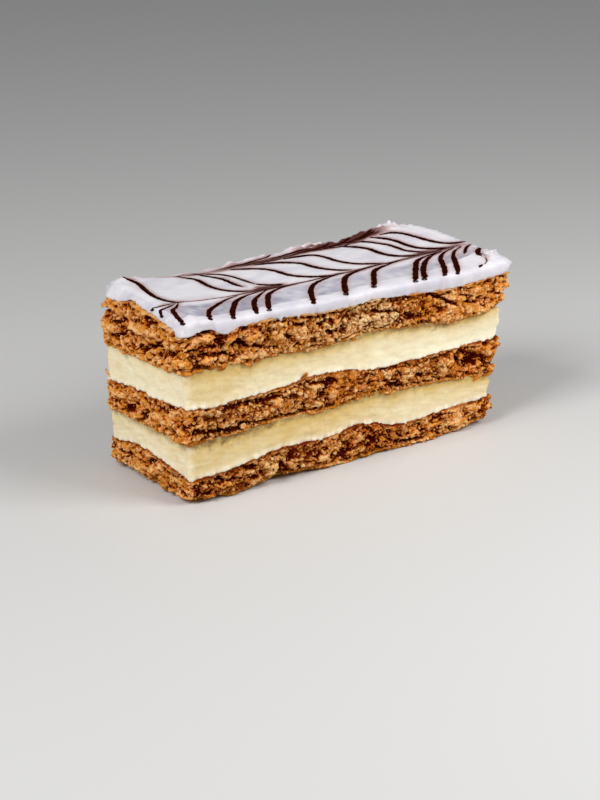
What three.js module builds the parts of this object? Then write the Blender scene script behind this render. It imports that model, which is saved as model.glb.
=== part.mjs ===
// Slice of mille feuille: three layers of baked puff pastry with two layers of custard cream
// between them, under a lid of fondant icing. Millimetres, +Z up. The long cut side faces -Y,
// and the slice leans out a little towards its far end at +X.

import * as THREE from 'three';
import { ImprovedNoise } from 'three/addons/math/ImprovedNoise.js';

// Size of the slice, before its crags and the lean of the far end
const LENGTH = 112;
const DEPTH = 45.5;
const CORNER_RADIUS = 2.2;

// The far end: where its cut meets the table in front, how far it leans out for each millimetre
// of height, and how far its back corner stays behind its front one
const FAR_END_FOOT = 108.2;
const FAR_END_LEAN = 0.215;
const FAR_END_SKEW = 5.5;

// Gap between two layers that lie on each other
const LAYER_GAP = 0.34;

// Columns of points round the slice: each side has a whole number of threes, because the rings
// inside a layer have a third as many points as its sides
const FRONT_COLUMNS = 63;
const END_COLUMNS = 27;
const COLUMNS = 2 * (FRONT_COLUMNS + END_COLUMNS);
const THINNING = 3;
const INNER_RING_INSET = 5.5;
const LID_RING_INSET = 13;

// Surfaces between the layers, from the table up. front and back are heights at even stations
// from the near end to the far end, nearEnd runs from the front corner to the back one, and a
// dimple [x, y, rise, radius] is a local rise or, below zero, a drip or hanging lobe. The table
// surface is the ragged rim of the bottom sheet, which is flat on the table inside it.
const SURFACES = {
  table: {
    front: [1.9, 0.4, 2.3, 0.7, 0.9, 0.3, 0.4, 2.2],
    back: [2.1, 0.6, 1.6, 0.5, 1.9, 0.4, 1.2, 1.8],
    nearEnd: [1.9, 1.7, 2.2, 2.1],
    dimples: [[60, 0, -0.7, 4]],
    ragged: 0.5,
  },
  lowerCreamFoot: {
    front: [7.6, 8.7, 10.5, 10.0, 11.0, 7.6, 8.7, 8.8],
    back: [8.8, 9.6, 10.2, 8.9, 9.4, 10.3, 9.0, 8.6],
    nearEnd: [7.6, 10.1, 10.9, 8.8],
    dimples: [[73, 0, -1.0, 4], [59, 0, 0.7, 3.5]],
    ragged: 0.45,
  },
  lowerCreamHead: {
    front: [18.4, 18.6, 19.1, 18.1, 19.2, 18.5, 17.3, 15.4],
    back: [19.1, 18.4, 18.9, 19.3, 18.2, 18.8, 17.6, 17.2],
    nearEnd: [18.4, 18.2, 18.3, 19.1],
    dimples: [[73, 0, -1.1, 3]],
    ragged: 0.4,
  },
  upperCreamFoot: {
    front: [30.0, 29.4, 29.7, 30.8, 28.1, 27.5, 28.0, 27.8],
    back: [28.0, 29.2, 30.1, 28.9, 28.4, 29.4, 28.6, 28.9],
    nearEnd: [30.0, 29.3, 29.1, 28.0],
    dimples: [[9, 0, -1.0, 4]],
    ragged: 0.35,
  },
  upperCreamHead: {
    front: [40.0, 40.1, 39.2, 38.2, 39.4, 37.7, 35.9, 36.7],
    back: [38.4, 39.3, 38.7, 39.6, 38.2, 38.9, 38.0, 38.2],
    nearEnd: [40.0, 39.0, 38.9, 38.4],
    dimples: [[15.5, 0, 0.8, 2.5], [20.8, 0, -1.9, 3]],
    ragged: 0.4,
  },
  icingFoot: {
    front: [52.4, 51.3, 50.8, 49.1, 49.3, 47.9, 47.1, 47.5],
    back: [54.6, 53.0, 51.1, 51.8, 51.7, 50.6, 51.9, 52.9],
    nearEnd: [52.4, 54.6, 55.6, 54.6],
    dimples: [[0, 0, -1.7, 3.5], [13, 0, -1.6, 3.5], [89, 0, -0.6, 4]],
    ragged: 0.25,
  },
  icingHead: {
    front: [56.8, 55.0, 54.4, 53.6, 53.4, 52.7, 52.1, 52.0],
    back: [58.6, 56.7, 54.7, 55.4, 55.3, 54.1, 55.3, 56.4],
    nearEnd: [56.8, 57.6, 58.3, 58.6],
    dimples: [],
    ragged: 0,
  },
};

// The rags of a surface's rim are this wide
const RAG_WIDTH = 3.1;

// What the layers are made of: colour, roughness, and the relief of a cut side, which is how
// deep, wide and tall its crags are, how far its baked sheets stand in and out of each other,
// and how much its rows of points stray in height
const PASTRY = {
  colour: 0xb97b43,
  roughness: 0.85,
  relief: { depth: 1.5, width: 4.2, height: 2.6, sheets: 0.9, sheetWidth: 9, stray: 0.32 },
};
const CREAM = {
  colour: 0xebd9a6,
  roughness: 0.45,
  relief: { depth: 0.35, width: 12, height: 3, sheets: 0, sheetWidth: 9, stray: 0 },
};
const ICING = { colour: 0xd9d5dc, roughness: 0.4 };

// How much finer the small crags are than the broad ones, along the side and in height, and how
// deep they are beside them
const FINE_CRAG = { along: 2.1, upwards: 1.7, depth: 0.7 };

// Layers from the table up: how far each side stands out and how many bands of faces it has
const LAYERS = [
  {
    name: 'pastry_bottom', foot: 'table', head: 'lowerCreamFoot',
    outset: 0.7, bands: 5, food: PASTRY,
  },
  {
    name: 'cream_lower', foot: 'lowerCreamFoot', head: 'lowerCreamHead',
    outset: -0.1, bands: 2, food: CREAM,
  },
  {
    name: 'pastry_middle', foot: 'lowerCreamHead', head: 'upperCreamFoot',
    outset: 0.5, bands: 6, food: PASTRY,
  },
  {
    name: 'cream_upper', foot: 'upperCreamFoot', head: 'upperCreamHead',
    outset: -0.1, bands: 2, food: CREAM,
  },
  {
    name: 'pastry_top', foot: 'upperCreamHead', head: 'icingFoot',
    outset: 0.6, bands: 7, food: PASTRY,
  },
];

// A crag at a layer's rim stands out no further than this, where the next layer meets it
const RIM_CRAG = 0.4;

// Pockets in the cut sides, [x, y, z, radius, depth], where the baked sheets stand apart; each
// is flatter than it is wide
const POCKET_FLATNESS = 1.5;
const POCKETS = [
  [0, 30, 46.5, 3.4, 2.4],
  [0, 12, 44.5, 3.0, 2.2],
  [3, 0, 45.0, 2.6, 2.0],
  [17, 0, 45.5, 3.2, 2.4],
  [27, 0, 46.0, 2.4, 1.8],
  [101, 0, 22.0, 3.4, 2.6],
  [36, 0, 24.5, 2.4, 1.6],
  [62, 0, 43.5, 2.2, 1.4],
  [84, DEPTH, 44.0, 3.2, 2.4],
  [40, DEPTH, 23.0, 3.0, 2.2],
];

// The icing's section from its lower edge up and over on to the lid, as steps out from the
// slice's side and down from the lid; the first step is at the lower edge itself
const ICING_SECTION = [
  { out: 0.9, down: null },
  { out: 1.35, down: 2.2 },
  { out: 1.1, down: 1.0 },
  { out: 0.1, down: 0.25 },
  { out: -1.8, down: 0 },
];
const ICING_WANDER = 0.7;
const WANDER_WIDTH = 6;

// The icing rounds over the near end, drawn back by this much for each millimetre above its edge
// and less up to a reach along the slice, and it is torn at the far end
const NEAR_END_DROOP = 0.65;
const NEAR_END_REACH = 10;
const FAR_END_TEAR = 1.8;
const TEAR_WIDTH = 2.6;

// Each surface and layer reads the noise at its own level, off the whole numbers where it is flat
const NOISE_STEP = 5.3;
const NOISE_START = 0.5;
const noise = new ImprovedNoise();

// Points and outward directions round the slice's plan, counter-clockwise from the near front
// corner, with the same number on both long sides and on both ends
function planColumns() {
  const r = CORNER_RADIUS;
  const sides = [
    { from: [0, 0], along: [1, 0], length: LENGTH, count: FRONT_COLUMNS },
    { from: [LENGTH, 0], along: [0, 1], length: DEPTH, count: END_COLUMNS },
    { from: [LENGTH, DEPTH], along: [-1, 0], length: LENGTH, count: FRONT_COLUMNS },
    { from: [0, DEPTH], along: [0, -1], length: DEPTH, count: END_COLUMNS },
  ];
  const columns = [];
  for (const side of sides) {
    for (let i = 0; i < side.count; i += 1) {
      const run = (i / side.count) * side.length;
      const x = side.from[0] + side.along[0] * run;
      const y = side.from[1] + side.along[1] * run;
      const core = new THREE.Vector2(
        THREE.MathUtils.clamp(x, r, LENGTH - r),
        THREE.MathUtils.clamp(y, r, DEPTH - r),
      );
      const outward = new THREE.Vector2(x, y).sub(core).normalize();
      columns.push({ x: core.x + outward.x * r, y: core.y + outward.y * r, outward });
    }
  }
  return columns;
}

// Height profile through evenly spaced stations, read at a fraction from 0 to 1
function profile(heights) {
  const curve = new THREE.SplineCurve(heights.map((z, station) => new THREE.Vector2(station, z)));
  return (fraction) => curve.getPoint(THREE.MathUtils.clamp(fraction, 0, 1)).y;
}

// Height of a surface over any plan point: a Coons patch on its four edge profiles, with its
// dimples and, close to the rim, the ragged line that the knife leaves
function heightField(surface, seed) {
  const lerp = THREE.MathUtils.lerp;
  const front = profile(surface.front);
  const back = profile(surface.back);
  const near = profile(surface.nearEnd);
  const far = profile([front(1), lerp(front(1), back(1), 0.5), back(1)]);
  return (x, y) => {
    const u = THREE.MathUtils.clamp(x / LENGTH, 0, 1);
    const v = THREE.MathUtils.clamp(y / DEPTH, 0, 1);
    const alongY = lerp(front(u), back(u), v);
    const alongX = lerp(near(v), far(v), u);
    const corners = lerp(lerp(front(0), front(1), u), lerp(back(0), back(1), u), v);
    let z = alongY + alongX - corners;
    for (const [dimpleX, dimpleY, rise, radius] of surface.dimples) {
      const apart = Math.hypot(x - dimpleX, y - dimpleY) / radius;
      z += rise * Math.exp(-apart * apart);
    }
    const rimDistance = Math.min(x, y, LENGTH - x, DEPTH - y);
    const rimFade = THREE.MathUtils.clamp(1 - rimDistance / INNER_RING_INSET, 0, 1);
    return z + surface.ragged * rimFade * noise.noise(x / RAG_WIDTH, y / RAG_WIDTH, seed);
  };
}

// The far end leans out and is cut askew, so the plan stretches along X
function stretched(x, y, z) {
  return (x * (FAR_END_FOOT + FAR_END_LEAN * z - (FAR_END_SKEW * y) / DEPTH)) / LENGTH;
}

// Side point of a column at a height, standing out from the plan by a distance
function sidePoint(column, z, out) {
  const x = column.x + column.outward.x * out;
  const y = column.y + column.outward.y * out;
  return new THREE.Vector3(stretched(x, y, z), y, z);
}

// Ring of points inside the slice at a constant inset, on a surface, with every nth column
function insetRing(columns, height, inset, every) {
  const ring = [];
  for (let k = 0; k < columns.length; k += every) {
    const { x: sideX, y: sideY } = columns[k];
    const x = THREE.MathUtils.mapLinear(sideX, 0, LENGTH, inset, LENGTH - inset);
    const y = THREE.MathUtils.mapLinear(sideY, 0, DEPTH, inset, DEPTH - inset);
    const z = height(x, y);
    ring.push(new THREE.Vector3(stretched(x, y, z), y, z));
  }
  return ring;
}

// Crags of a cut side: sheets that stand in and out, broad lumps and finer ones, less the pockets
function cragDepth(point, band, relief, seed) {
  const { depth, width, height, sheets, sheetWidth } = relief;
  const sheet = noise.noise(point.x / sheetWidth, point.y / sheetWidth, band * NOISE_STEP + seed);
  const broad = noise.noise(point.x / width, point.y / width, point.z / height + seed);
  const fineWidth = width / FINE_CRAG.along;
  const fineHeight = height / FINE_CRAG.upwards;
  const fine = noise.noise(point.x / fineWidth, point.y / fineWidth, point.z / fineHeight + seed);
  let out = sheets * sheet + depth * (broad + FINE_CRAG.depth * fine);
  for (const [x, y, z, radius, pocketDepth] of POCKETS) {
    const apart = Math.hypot(point.x - x, point.y - y, POCKET_FLATNESS * (point.z - z)) / radius;
    out -= pocketDepth * Math.exp(-apart * apart);
  }
  return out;
}

// Collects rings of points and the faces between them into one closed body
class LayerBody {
  constructor() {
    this.positions = [];
    this.indices = [];
  }

  addRing(points) {
    const first = this.positions.length / 3;
    for (const point of points) this.positions.push(point.x, point.y, point.z);
    return { first, count: points.length };
  }

  addFace(a, b, c, facingUp = true) {
    if (facingUp) this.indices.push(a, b, c);
    else this.indices.push(a, c, b);
  }

  // Band of side faces between a ring and the one above it, which has as many points. The
  // diagonals turn from face to face, so that the crags don't all slant one way.
  addBand(lower, upper) {
    const bandNumber = lower.first / lower.count;
    for (let k = 0; k < lower.count; k += 1) {
      const next = (k + 1) % lower.count;
      const [a, b, c, d] = [lower.first + k, lower.first + next, upper.first + next, upper.first + k];
      if ((k + bandNumber) % 2) {
        this.addFace(a, b, c);
        this.addFace(a, c, d);
      } else {
        this.addFace(a, b, d);
        this.addFace(b, c, d);
      }
    }
  }

  // Faces from a ring to the ring inside it, which has a third as many points
  addThinningBand(outer, inner, facingUp) {
    for (let j = 0; j < inner.count; j += 1) {
      const here = inner.first + j;
      const next = inner.first + ((j + 1) % inner.count);
      const rim = [0, 1, 2, 3].map((step) => outer.first + ((j * THINNING + step) % outer.count));
      this.addFace(rim[0], rim[1], here, facingUp);
      this.addFace(rim[1], rim[2], here, facingUp);
      this.addFace(rim[2], rim[3], next, facingUp);
      this.addFace(rim[2], next, here, facingUp);
    }
  }

  // Cap across a ring: a ladder of faces between its long sides, with a fan of faces at each end
  addCap(ring, facingUp) {
    const long = (FRONT_COLUMNS * ring.count) / COLUMNS;
    const short = (END_COLUMNS * ring.count) / COLUMNS;
    const nearBack = 2 * long + short;
    const at = (index) => ring.first + ((index + ring.count) % ring.count);
    for (let i = 1; i < long - 1; i += 1) {
      this.addFace(at(i), at(i + 1), at(nearBack - i - 1), facingUp);
      this.addFace(at(i), at(nearBack - i - 1), at(nearBack - i), facingUp);
    }
    for (const corner of [long, nearBack]) {
      const middle = Math.ceil(short / 2);
      for (let i = 0; i < short; i += 1) {
        const apex = i < middle ? corner - 1 : corner + short + 1;
        this.addFace(at(corner + i), at(corner + i + 1), at(apex), facingUp);
      }
      this.addFace(at(corner - 1), at(corner + middle), at(corner + short + 1), facingUp);
    }
  }

  toMesh(name, { colour, roughness }) {
    const geometry = new THREE.BufferGeometry();
    geometry.setAttribute('position', new THREE.Float32BufferAttribute(this.positions, 3));
    geometry.setIndex(this.indices);
    geometry.computeVertexNormals();
    const material = new THREE.MeshStandardMaterial({ color: colour, roughness, metalness: 0 });
    const mesh = new THREE.Mesh(geometry, material);
    mesh.name = name;
    return mesh;
  }
}

// Adds the hidden face of a layer: a ring a little inside the side, and the cap within it
function addHiddenFace(body, columns, rim, height, facingUp) {
  const inner = body.addRing(insetRing(columns, height, INNER_RING_INSET, THINNING));
  body.addThinningBand(rim, inner, facingUp);
  body.addCap(inner, facingUp);
}

// A layer of pastry or cream: rings of crags from its foot to its head
function buildLayer(layer, columns, fields, seed) {
  const foot = fields[layer.foot];
  const head = fields[layer.head];
  const onTable = layer.foot === 'table';
  const footGap = onTable ? 0 : LAYER_GAP / 2;
  const { relief } = layer.food;
  const body = new LayerBody();
  const rings = [];
  for (let band = 0; band <= layer.bands; band += 1) {
    const rise = band / layer.bands;
    const atRim = band === 0 || band === layer.bands;
    rings.push(body.addRing(columns.map((column, k) => {
      const low = foot(column.x, column.y) + footGap;
      const high = head(column.x, column.y) - LAYER_GAP / 2;
      const level = THREE.MathUtils.lerp(low, high, rise);
      const crag = cragDepth(new THREE.Vector3(column.x, column.y, level), band, relief, seed);
      const stray = atRim ? 0 : relief.stray * noise.noise(k * NOISE_STEP, band * NOISE_STEP, seed);
      return sidePoint(column, level + stray, layer.outset + (atRim ? Math.min(crag, RIM_CRAG) : crag));
    })));
  }
  for (let band = 0; band < layer.bands; band += 1) body.addBand(rings[band], rings[band + 1]);
  const insideFoot = onTable ? () => 0 : (x, y) => foot(x, y) + footGap;
  addHiddenFace(body, columns, rings[0], insideFoot, false);
  addHiddenFace(body, columns, rings[layer.bands], (x, y) => head(x, y) - LAYER_GAP / 2, true);
  return body.toMesh(layer.name, layer.food);
}

// The icing: a lid with rounded shoulders and a torn far end, whose lower edge follows the pastry
function buildIcing(columns, fields) {
  const foot = (x, y) => fields.icingFoot(x, y) + LAYER_GAP / 2;
  const lid = fields.icingHead;
  const body = new LayerBody();
  const rings = ICING_SECTION.map(({ out, down }) => body.addRing(columns.map((column) => {
    const edge = foot(column.x, column.y);
    const level = down === null ? edge : lid(column.x, column.y) - down;
    const wander = noise.noise(column.x / WANDER_WIDTH, column.y / WANDER_WIDTH, NOISE_START);
    const rag = noise.noise(column.y / TEAR_WIDTH, level / TEAR_WIDTH, NOISE_START);
    const tear = FAR_END_TEAR * Math.max(column.outward.x, 0) * rag;
    const point = sidePoint(column, level, out + ICING_WANDER * wander + tear);
    point.x += NEAR_END_DROOP * (level - edge) * Math.max(0, 1 - column.x / NEAR_END_REACH);
    return point;
  })));
  for (let band = 0; band + 1 < rings.length; band += 1) body.addBand(rings[band], rings[band + 1]);
  addHiddenFace(body, columns, rings[0], foot, false);
  const shoulder = rings[rings.length - 1];
  const outerLid = body.addRing(insetRing(columns, lid, INNER_RING_INSET, THINNING));
  const innerLid = body.addRing(insetRing(columns, lid, LID_RING_INSET, THINNING * THINNING));
  body.addThinningBand(shoulder, outerLid, true);
  body.addThinningBand(outerLid, innerLid, true);
  body.addCap(innerLid, true);
  return body.toMesh('icing', ICING);
}

const columns = planColumns();
const fields = {};
Object.entries(SURFACES).forEach(([name, surface], index) => {
  fields[name] = heightField(surface, index * NOISE_STEP + NOISE_START);
});

const group = new THREE.Group();
LAYERS.forEach((layer, index) => {
  group.add(buildLayer(layer, columns, fields, index * NOISE_STEP + NOISE_START));
});
group.add(buildIcing(columns, fields));

// The origin is the middle of the slice's box, on the table
const box = new THREE.Box3().setFromObject(group);
const middle = box.getCenter(new THREE.Vector3());
group.position.set(-middle.x, -middle.y, -box.min.z);

export default group;
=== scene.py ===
"""Slice of mille feuille: craggy puff pastry, custard cream and feathered icing round the slice's solids.

Shapes are worked out in millimetres, in the slice's own corner frame, and become metres in a mesh.
"""

import math

import bmesh
import bpy
import numpy as np
from bpy.props import FloatProperty, FloatVectorProperty, IntProperty, PointerProperty
from bpy.types import Operator, Panel, PropertyGroup
from mathutils import Matrix, Vector
from mathutils.bvhtree import BVHTree
from mathutils.kdtree import KDTree


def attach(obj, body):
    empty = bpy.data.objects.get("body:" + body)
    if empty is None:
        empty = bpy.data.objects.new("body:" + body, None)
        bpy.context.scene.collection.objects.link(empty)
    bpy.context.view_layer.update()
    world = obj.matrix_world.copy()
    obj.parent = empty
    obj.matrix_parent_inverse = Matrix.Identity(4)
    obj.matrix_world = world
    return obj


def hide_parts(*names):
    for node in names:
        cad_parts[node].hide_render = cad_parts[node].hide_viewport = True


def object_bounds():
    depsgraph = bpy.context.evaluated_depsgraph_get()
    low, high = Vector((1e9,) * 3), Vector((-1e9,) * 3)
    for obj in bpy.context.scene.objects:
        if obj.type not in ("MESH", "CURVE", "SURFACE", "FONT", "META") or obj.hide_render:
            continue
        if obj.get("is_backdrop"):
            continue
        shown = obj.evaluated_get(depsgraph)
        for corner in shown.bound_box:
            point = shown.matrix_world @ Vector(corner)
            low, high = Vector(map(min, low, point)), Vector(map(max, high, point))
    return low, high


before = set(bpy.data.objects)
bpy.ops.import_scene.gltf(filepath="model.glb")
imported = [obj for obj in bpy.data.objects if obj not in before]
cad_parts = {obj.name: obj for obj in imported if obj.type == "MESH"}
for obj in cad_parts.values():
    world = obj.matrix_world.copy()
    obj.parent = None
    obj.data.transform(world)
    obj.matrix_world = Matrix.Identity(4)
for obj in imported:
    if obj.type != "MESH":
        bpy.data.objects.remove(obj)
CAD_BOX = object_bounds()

bl_info = {
    "name": "Mille feuille slice",
    "version": (1, 0, 0),
    "blender": (4, 5, 0),
    "location": "View3D > Sidebar > Mille feuille",
    "description": "Dresses a slice of mille feuille with pastry, cream, feathered icing and crumbs",
    "category": "Object",
}

MM = 0.001

# How far crumb and crumbs may reach out of the solids' box
SPILL = 0.7

# The slice's plan, and how its far end leans out and is cut askew, as its solids have them
LENGTH = 112.0
DEPTH = 45.5
CORNER_RADIUS = 2.2
FAR_END_FOOT = 108.2
FAR_END_LEAN = 0.215
FAR_END_SKEW = 5.5

# Where the slice's near front corner stands in the frame
CORNER_X = -58.956
CORNER_Y = -22.904

# Rays that read a solid's side start this far outside its plan and end this far inside it
STAND_OFF = 8.0
STAND_IN = 5.0
SIDE_READINGS = 11
SIDE_SPAN = (0.05, 0.95)
RIM_READING_INSET = 0.9

# Rays that read a solid's upper and lower surfaces start this far above and below its middle
OVERHEAD = 40

# Rings under and over a layer's side, at these insets, that close it where the next layer hides it
CAP_INSETS = (0.9, 2.4, 5.0)


def tint(code):
    """Linear colour of a code such as #EBC491, as Blender's colour sockets hold it"""
    parts = [int(code[start:start + 2], 16) / 255 for start in (1, 3, 5)]
    return tuple(part / 12.92 if part <= 0.04045 else ((part + 0.055) / 1.055) ** 2.4 for part in parts)


def size(name, description, millimetres):
    """Property that holds a length"""
    return FloatProperty(
        name=name, description=description, default=millimetres * MM, min=0, unit="LENGTH", precision=5
    )


def amount(name, description, value):
    """Property that holds a share or a strength"""
    return FloatProperty(name=name, description=description, default=value, min=0, subtype="FACTOR")


def how_many(name, description, value):
    """Property that holds how many there are"""
    return IntProperty(name=name, description=description, default=value, min=0)


def colour(name, description, code):
    """Property that holds a colour"""
    return FloatVectorProperty(
        name=name, description=description, default=tint(code), size=3, min=0, max=1, subtype="COLOR"
    )


class PastryLook(PropertyGroup):
    """Baked puff pastry"""
    grain: size("Grain", "Distance between the points of a cut side", 0.24)
    clump: size("Clump", "Width of the broad clumps of crumb", 3.0)
    clump_depth: size("Clump depth", "How far a clump stands out", 0.8)
    nodule: size("Nodule", "Width of the small beads that the clumps are made of", 1.3)
    nodule_depth: size("Nodule depth", "How far a bead stands out", 0.58)
    gap_depth: size("Gap depth", "How deep the gaps between the baked sheets are", 1.2)
    # The crumb's colours run by how far a point stands out: the deep and hollow colours are painted shade in
    # the gaps and hollows, and the pale and toasted tips are partly the crumb's own colour and partly painted
    # highlight
    pale: colour("Pale crumb", "Tips of the crumb", "#F4D09C")
    crumb: colour("Crumb", "Middle of the crumb", "#BE8038")
    glow: colour("Toasted tips", "Tips of the browned crumb", "#F8B870")
    toasted: colour("Toasted", "Middle of the browned crumb", "#C26218")
    ember: colour("Toasted hollows", "Hollows of the browned crumb", "#6A1400")
    gold: colour("Butter", "Patches that are soaked with butter", "#DA8A22")
    crust: colour("Crust", "Darker crumb, and the thin brown sheets at a layer's top", "#6E2604")
    fringe: colour("Fringe", "Golden edge at a layer's foot, soaked with butter", "#C07C22")
    deep: colour("Deep", "Bottom of the gaps", "#4A0C00")


class CreamLook(PropertyGroup):
    """Custard cream"""
    grain: size("Grain", "Distance between the points of a cut side", 0.36)
    drag: size("Drag", "Depth of the marks that the knife drags along the side", 0.12)
    lip: size("Lip", "How far the ragged lower edge stands out", 0.5)
    corner: size("Corner", "How far the upright corners stand out of their rounding", 0.7)
    custard: colour("Custard", "Cut side of the cream", "#FBF0CE")
    # Deep custard: yellower cream, and also painted shade higher up the side under the pastry, towards the
    # near corner and in small holes
    deep: colour("Deep custard", "Yellower cream, higher up the side", "#DFBD6E")
    # Butter: brown cream under a pastry sheet, partly butter soaked in and partly painted shadow of the
    # pastry above
    butter: colour("Butter", "Cream that has soaked up butter under a pastry sheet", "#86642C")
    # Painted highlight along the ragged lower edge and the front corner, where the edge catches the light
    froth: colour("Froth", "Ragged, paler edge of the cream", "#FFF3DA")


class IcingLook(PropertyGroup):
    """Fondant icing"""
    grain: size("Grain", "Distance between the points of the lid", 0.4)
    ragged: size("Ragged edge", "How far the lower edge strays", 0.36)
    fondant: colour("Fondant", "White icing", "#ECE8EC")
    shadow: colour("Dull fondant", "Duller patches of the icing", "#D3D0DA")
    # Thin fondant also serves as painted shade on the icing's side and near end
    clear: colour("Thin fondant", "Thin icing, that the pastry shows through", "#8E8CA2")
    tinge: colour("Tinge", "Icing tinged beside the chocolate", "#C4A4A2")
    smear: colour("Smear", "Icing stained where the chocolate was drawn out", "#4E1C10")


class ChocolateLook(PropertyGroup):
    """Chocolate feathered into the icing"""
    height: size("Height", "How far a line stands above the icing", 0.12)
    step: size("Step", "Distance between the points along a line", 0.3)
    spread: amount("Spread", "How wide every line is, as a share of its own width", 1.08)
    dark: colour("Chocolate", "Dark chocolate", "#200503")
    streak: colour("Streak", "Thin chocolate that the icing shows through", "#5A261A")


class CrumbLook(PropertyGroup):
    """Loose crumbs and flakes"""
    large: how_many("Large crumbs", "Large crumbs on the cut sides", 900)
    small: how_many("Small crumbs", "Small crumbs on the cut sides", 6000)
    smallest: size("Smallest", "Width of the smallest crumb", 0.5)
    middling: size("Middling", "Width that parts the small crumbs from the large ones", 1.0)
    largest: size("Largest", "Width of the largest crumb", 1.9)
    flakes: how_many("Flakes", "Thin flakes along the crusts and sheets", 2400)
    flake: size("Flake", "Length of a large flake", 2.0)


class StageLook(PropertyGroup):
    """Floor, lights and camera"""
    floor: colour("Floor", "Plain pale floor", "#D9D8D6")
    sky: amount("Sky", "Strength of the light from all round", 0.22)
    lens: FloatProperty(name="Lens", description="Focal length", default=108, unit="CAMERA")


class MilleFeuilleLook(PropertyGroup):
    """Sizes and colours of the whole slice"""
    pastry: PointerProperty(type=PastryLook)
    cream: PointerProperty(type=CreamLook)
    icing: PointerProperty(type=IcingLook)
    chocolate: PointerProperty(type=ChocolateLook)
    crumbs: PointerProperty(type=CrumbLook)
    stage: PointerProperty(type=StageLook)


# Noise --------

WORD = 0xFFFFFFFF
TEN_BITS = 1023

# Brings smooth noise out to about 1, and how many widths out a blur reaches
NOISE_GAIN = 1.7
BLUR_REACH = 2.5


def scramble(ix, iy, iz, seed):
    """Whole number that looks random but is always the same for a place on a grid"""
    number = (ix * 374761393 + iy * 668265263 + iz * 1274126177 + seed * 144665179) & WORD
    number = ((number ^ (number >> 13)) * 1103515245) & WORD
    number = ((number ^ (number >> 15)) * 374761393) & WORD
    return number ^ (number >> 16)


def three_parts(number):
    """Three separate random shares, from 0 to 1, of a scrambled number"""
    return [((number >> shift) & TEN_BITS) / TEN_BITS for shift in (0, 10, 20)]


def noise(x, y, z, seed):
    """Smooth noise, mostly between -1 and 1"""
    x, y, z = np.broadcast_arrays(x, y, z)
    floors = [np.floor(part).astype(np.int64) for part in (x, y, z)]
    inside = [part - floor for part, floor in zip((x, y, z), floors)]
    fades = [f * f * f * (f * (f * 6 - 15) + 10) for f in inside]
    total = np.zeros(x.shape)
    for corner in np.ndindex(2, 2, 2):
        number = scramble(*(floor + step for floor, step in zip(floors, corner)), seed)
        slopes = three_parts(number)
        rise = sum((2 * s - 1) * (f - step) for s, f, step in zip(slopes, inside, corner))
        weight = np.ones(x.shape)
        for fade, step in zip(fades, corner):
            weight = weight * (fade if step else 1 - fade)
        total += weight * rise
    return NOISE_GAIN * total


def rough(x, y, z, wide, tall, seed):
    """Smooth noise whose bumps are about so wide and so tall"""
    return noise(x / wide, y / wide, z / tall, seed)


def rough_edge(x, y, wide, seed):
    """Smooth noise along an edge, the same at every height"""
    return noise(x / wide, y / wide, 0.5, seed)


def cells(x, y, z, seed):
    """Distance to the nearest of scattered points, and that point's own random share"""
    floors = [np.floor(part).astype(np.int64) for part in (x, y, z)]
    nearest = np.full(x.shape, 9.0)
    own = np.zeros(x.shape)
    for neighbour in np.ndindex(3, 3, 3):
        places = [floor + step - 1 for floor, step in zip(floors, neighbour)]
        number = scramble(*places, seed)
        shares = three_parts(number)
        apart = sum((start + share - part) ** 2 for start, share, part in zip(places, shares, (x, y, z)))
        share = three_parts(scramble(*places, seed + 1))[0]
        apart = np.sqrt(apart) * (0.75 + 0.5 * share)
        closer = apart < nearest
        nearest = np.where(closer, apart, nearest)
        own = np.where(closer, share, own)
    return nearest, own


def ramp(value, low, high):
    """0 below low, 1 above high, and a smooth rise between them"""
    share = np.clip((value - low) / (high - low), 0, 1)
    return share * share * (3 - 2 * share)


def bell(width):
    """Steps on either side of a point, and the weight of each in a blur of a width"""
    reach = math.ceil(BLUR_REACH * width)
    steps = np.arange(-reach, reach + 1)
    return steps, np.exp(-0.5 * (steps / width) ** 2)


def blur(field, rows, columns):
    """Softens a field by a number of rows and of columns, where the columns run round the slice"""
    if rows:
        steps, weights = bell(rows)
        reach = steps[-1]
        padded = np.pad(field, ((reach, reach), (0, 0)), mode="edge")
        count = field.shape[0]
        field = sum(w * padded[reach + s:reach + s + count] for w, s in zip(weights, steps)) / weights.sum()
    if columns:
        steps, weights = bell(columns)
        field = sum(w * np.roll(field, s, axis=-1) for w, s in zip(weights, steps)) / weights.sum()
    return field


def blur_round(values, columns):
    """Softens one value a column round the slice"""
    return blur(values[None], 0, columns)[0]


def between_rows(rows, spots):
    """Rows at spots that lie between the given rows, which are counted from 0"""
    lower = np.minimum(spots.astype(int), len(rows) - 2)
    share = (spots - lower)[:, None]
    return rows[lower] * (1 - share) + rows[lower + 1] * share


def along(pairs, x):
    """Value at places x of what is given at a few places"""
    return np.interp(x, *zip(*pairs))


# The slice's plan and its solids --------


def place(x, y, z):
    """Points of the frame, in millimetres, for plan places and heights"""
    x, y, z = np.broadcast_arrays(x, y, z)
    stretched = x * (FAR_END_FOOT + FAR_END_LEAN * z - FAR_END_SKEW * y / DEPTH) / LENGTH
    return np.stack([CORNER_X + stretched, CORNER_Y + y, z], axis=-1)


def kept_in(points):
    """Points moved to within a small spill of the solids' box, and to no lower than the table"""
    low, high = np.array(CAD_BOX) / MM
    spill = np.array([SPILL, SPILL, 0])
    return np.clip(points, low - spill, high + spill)


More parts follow.
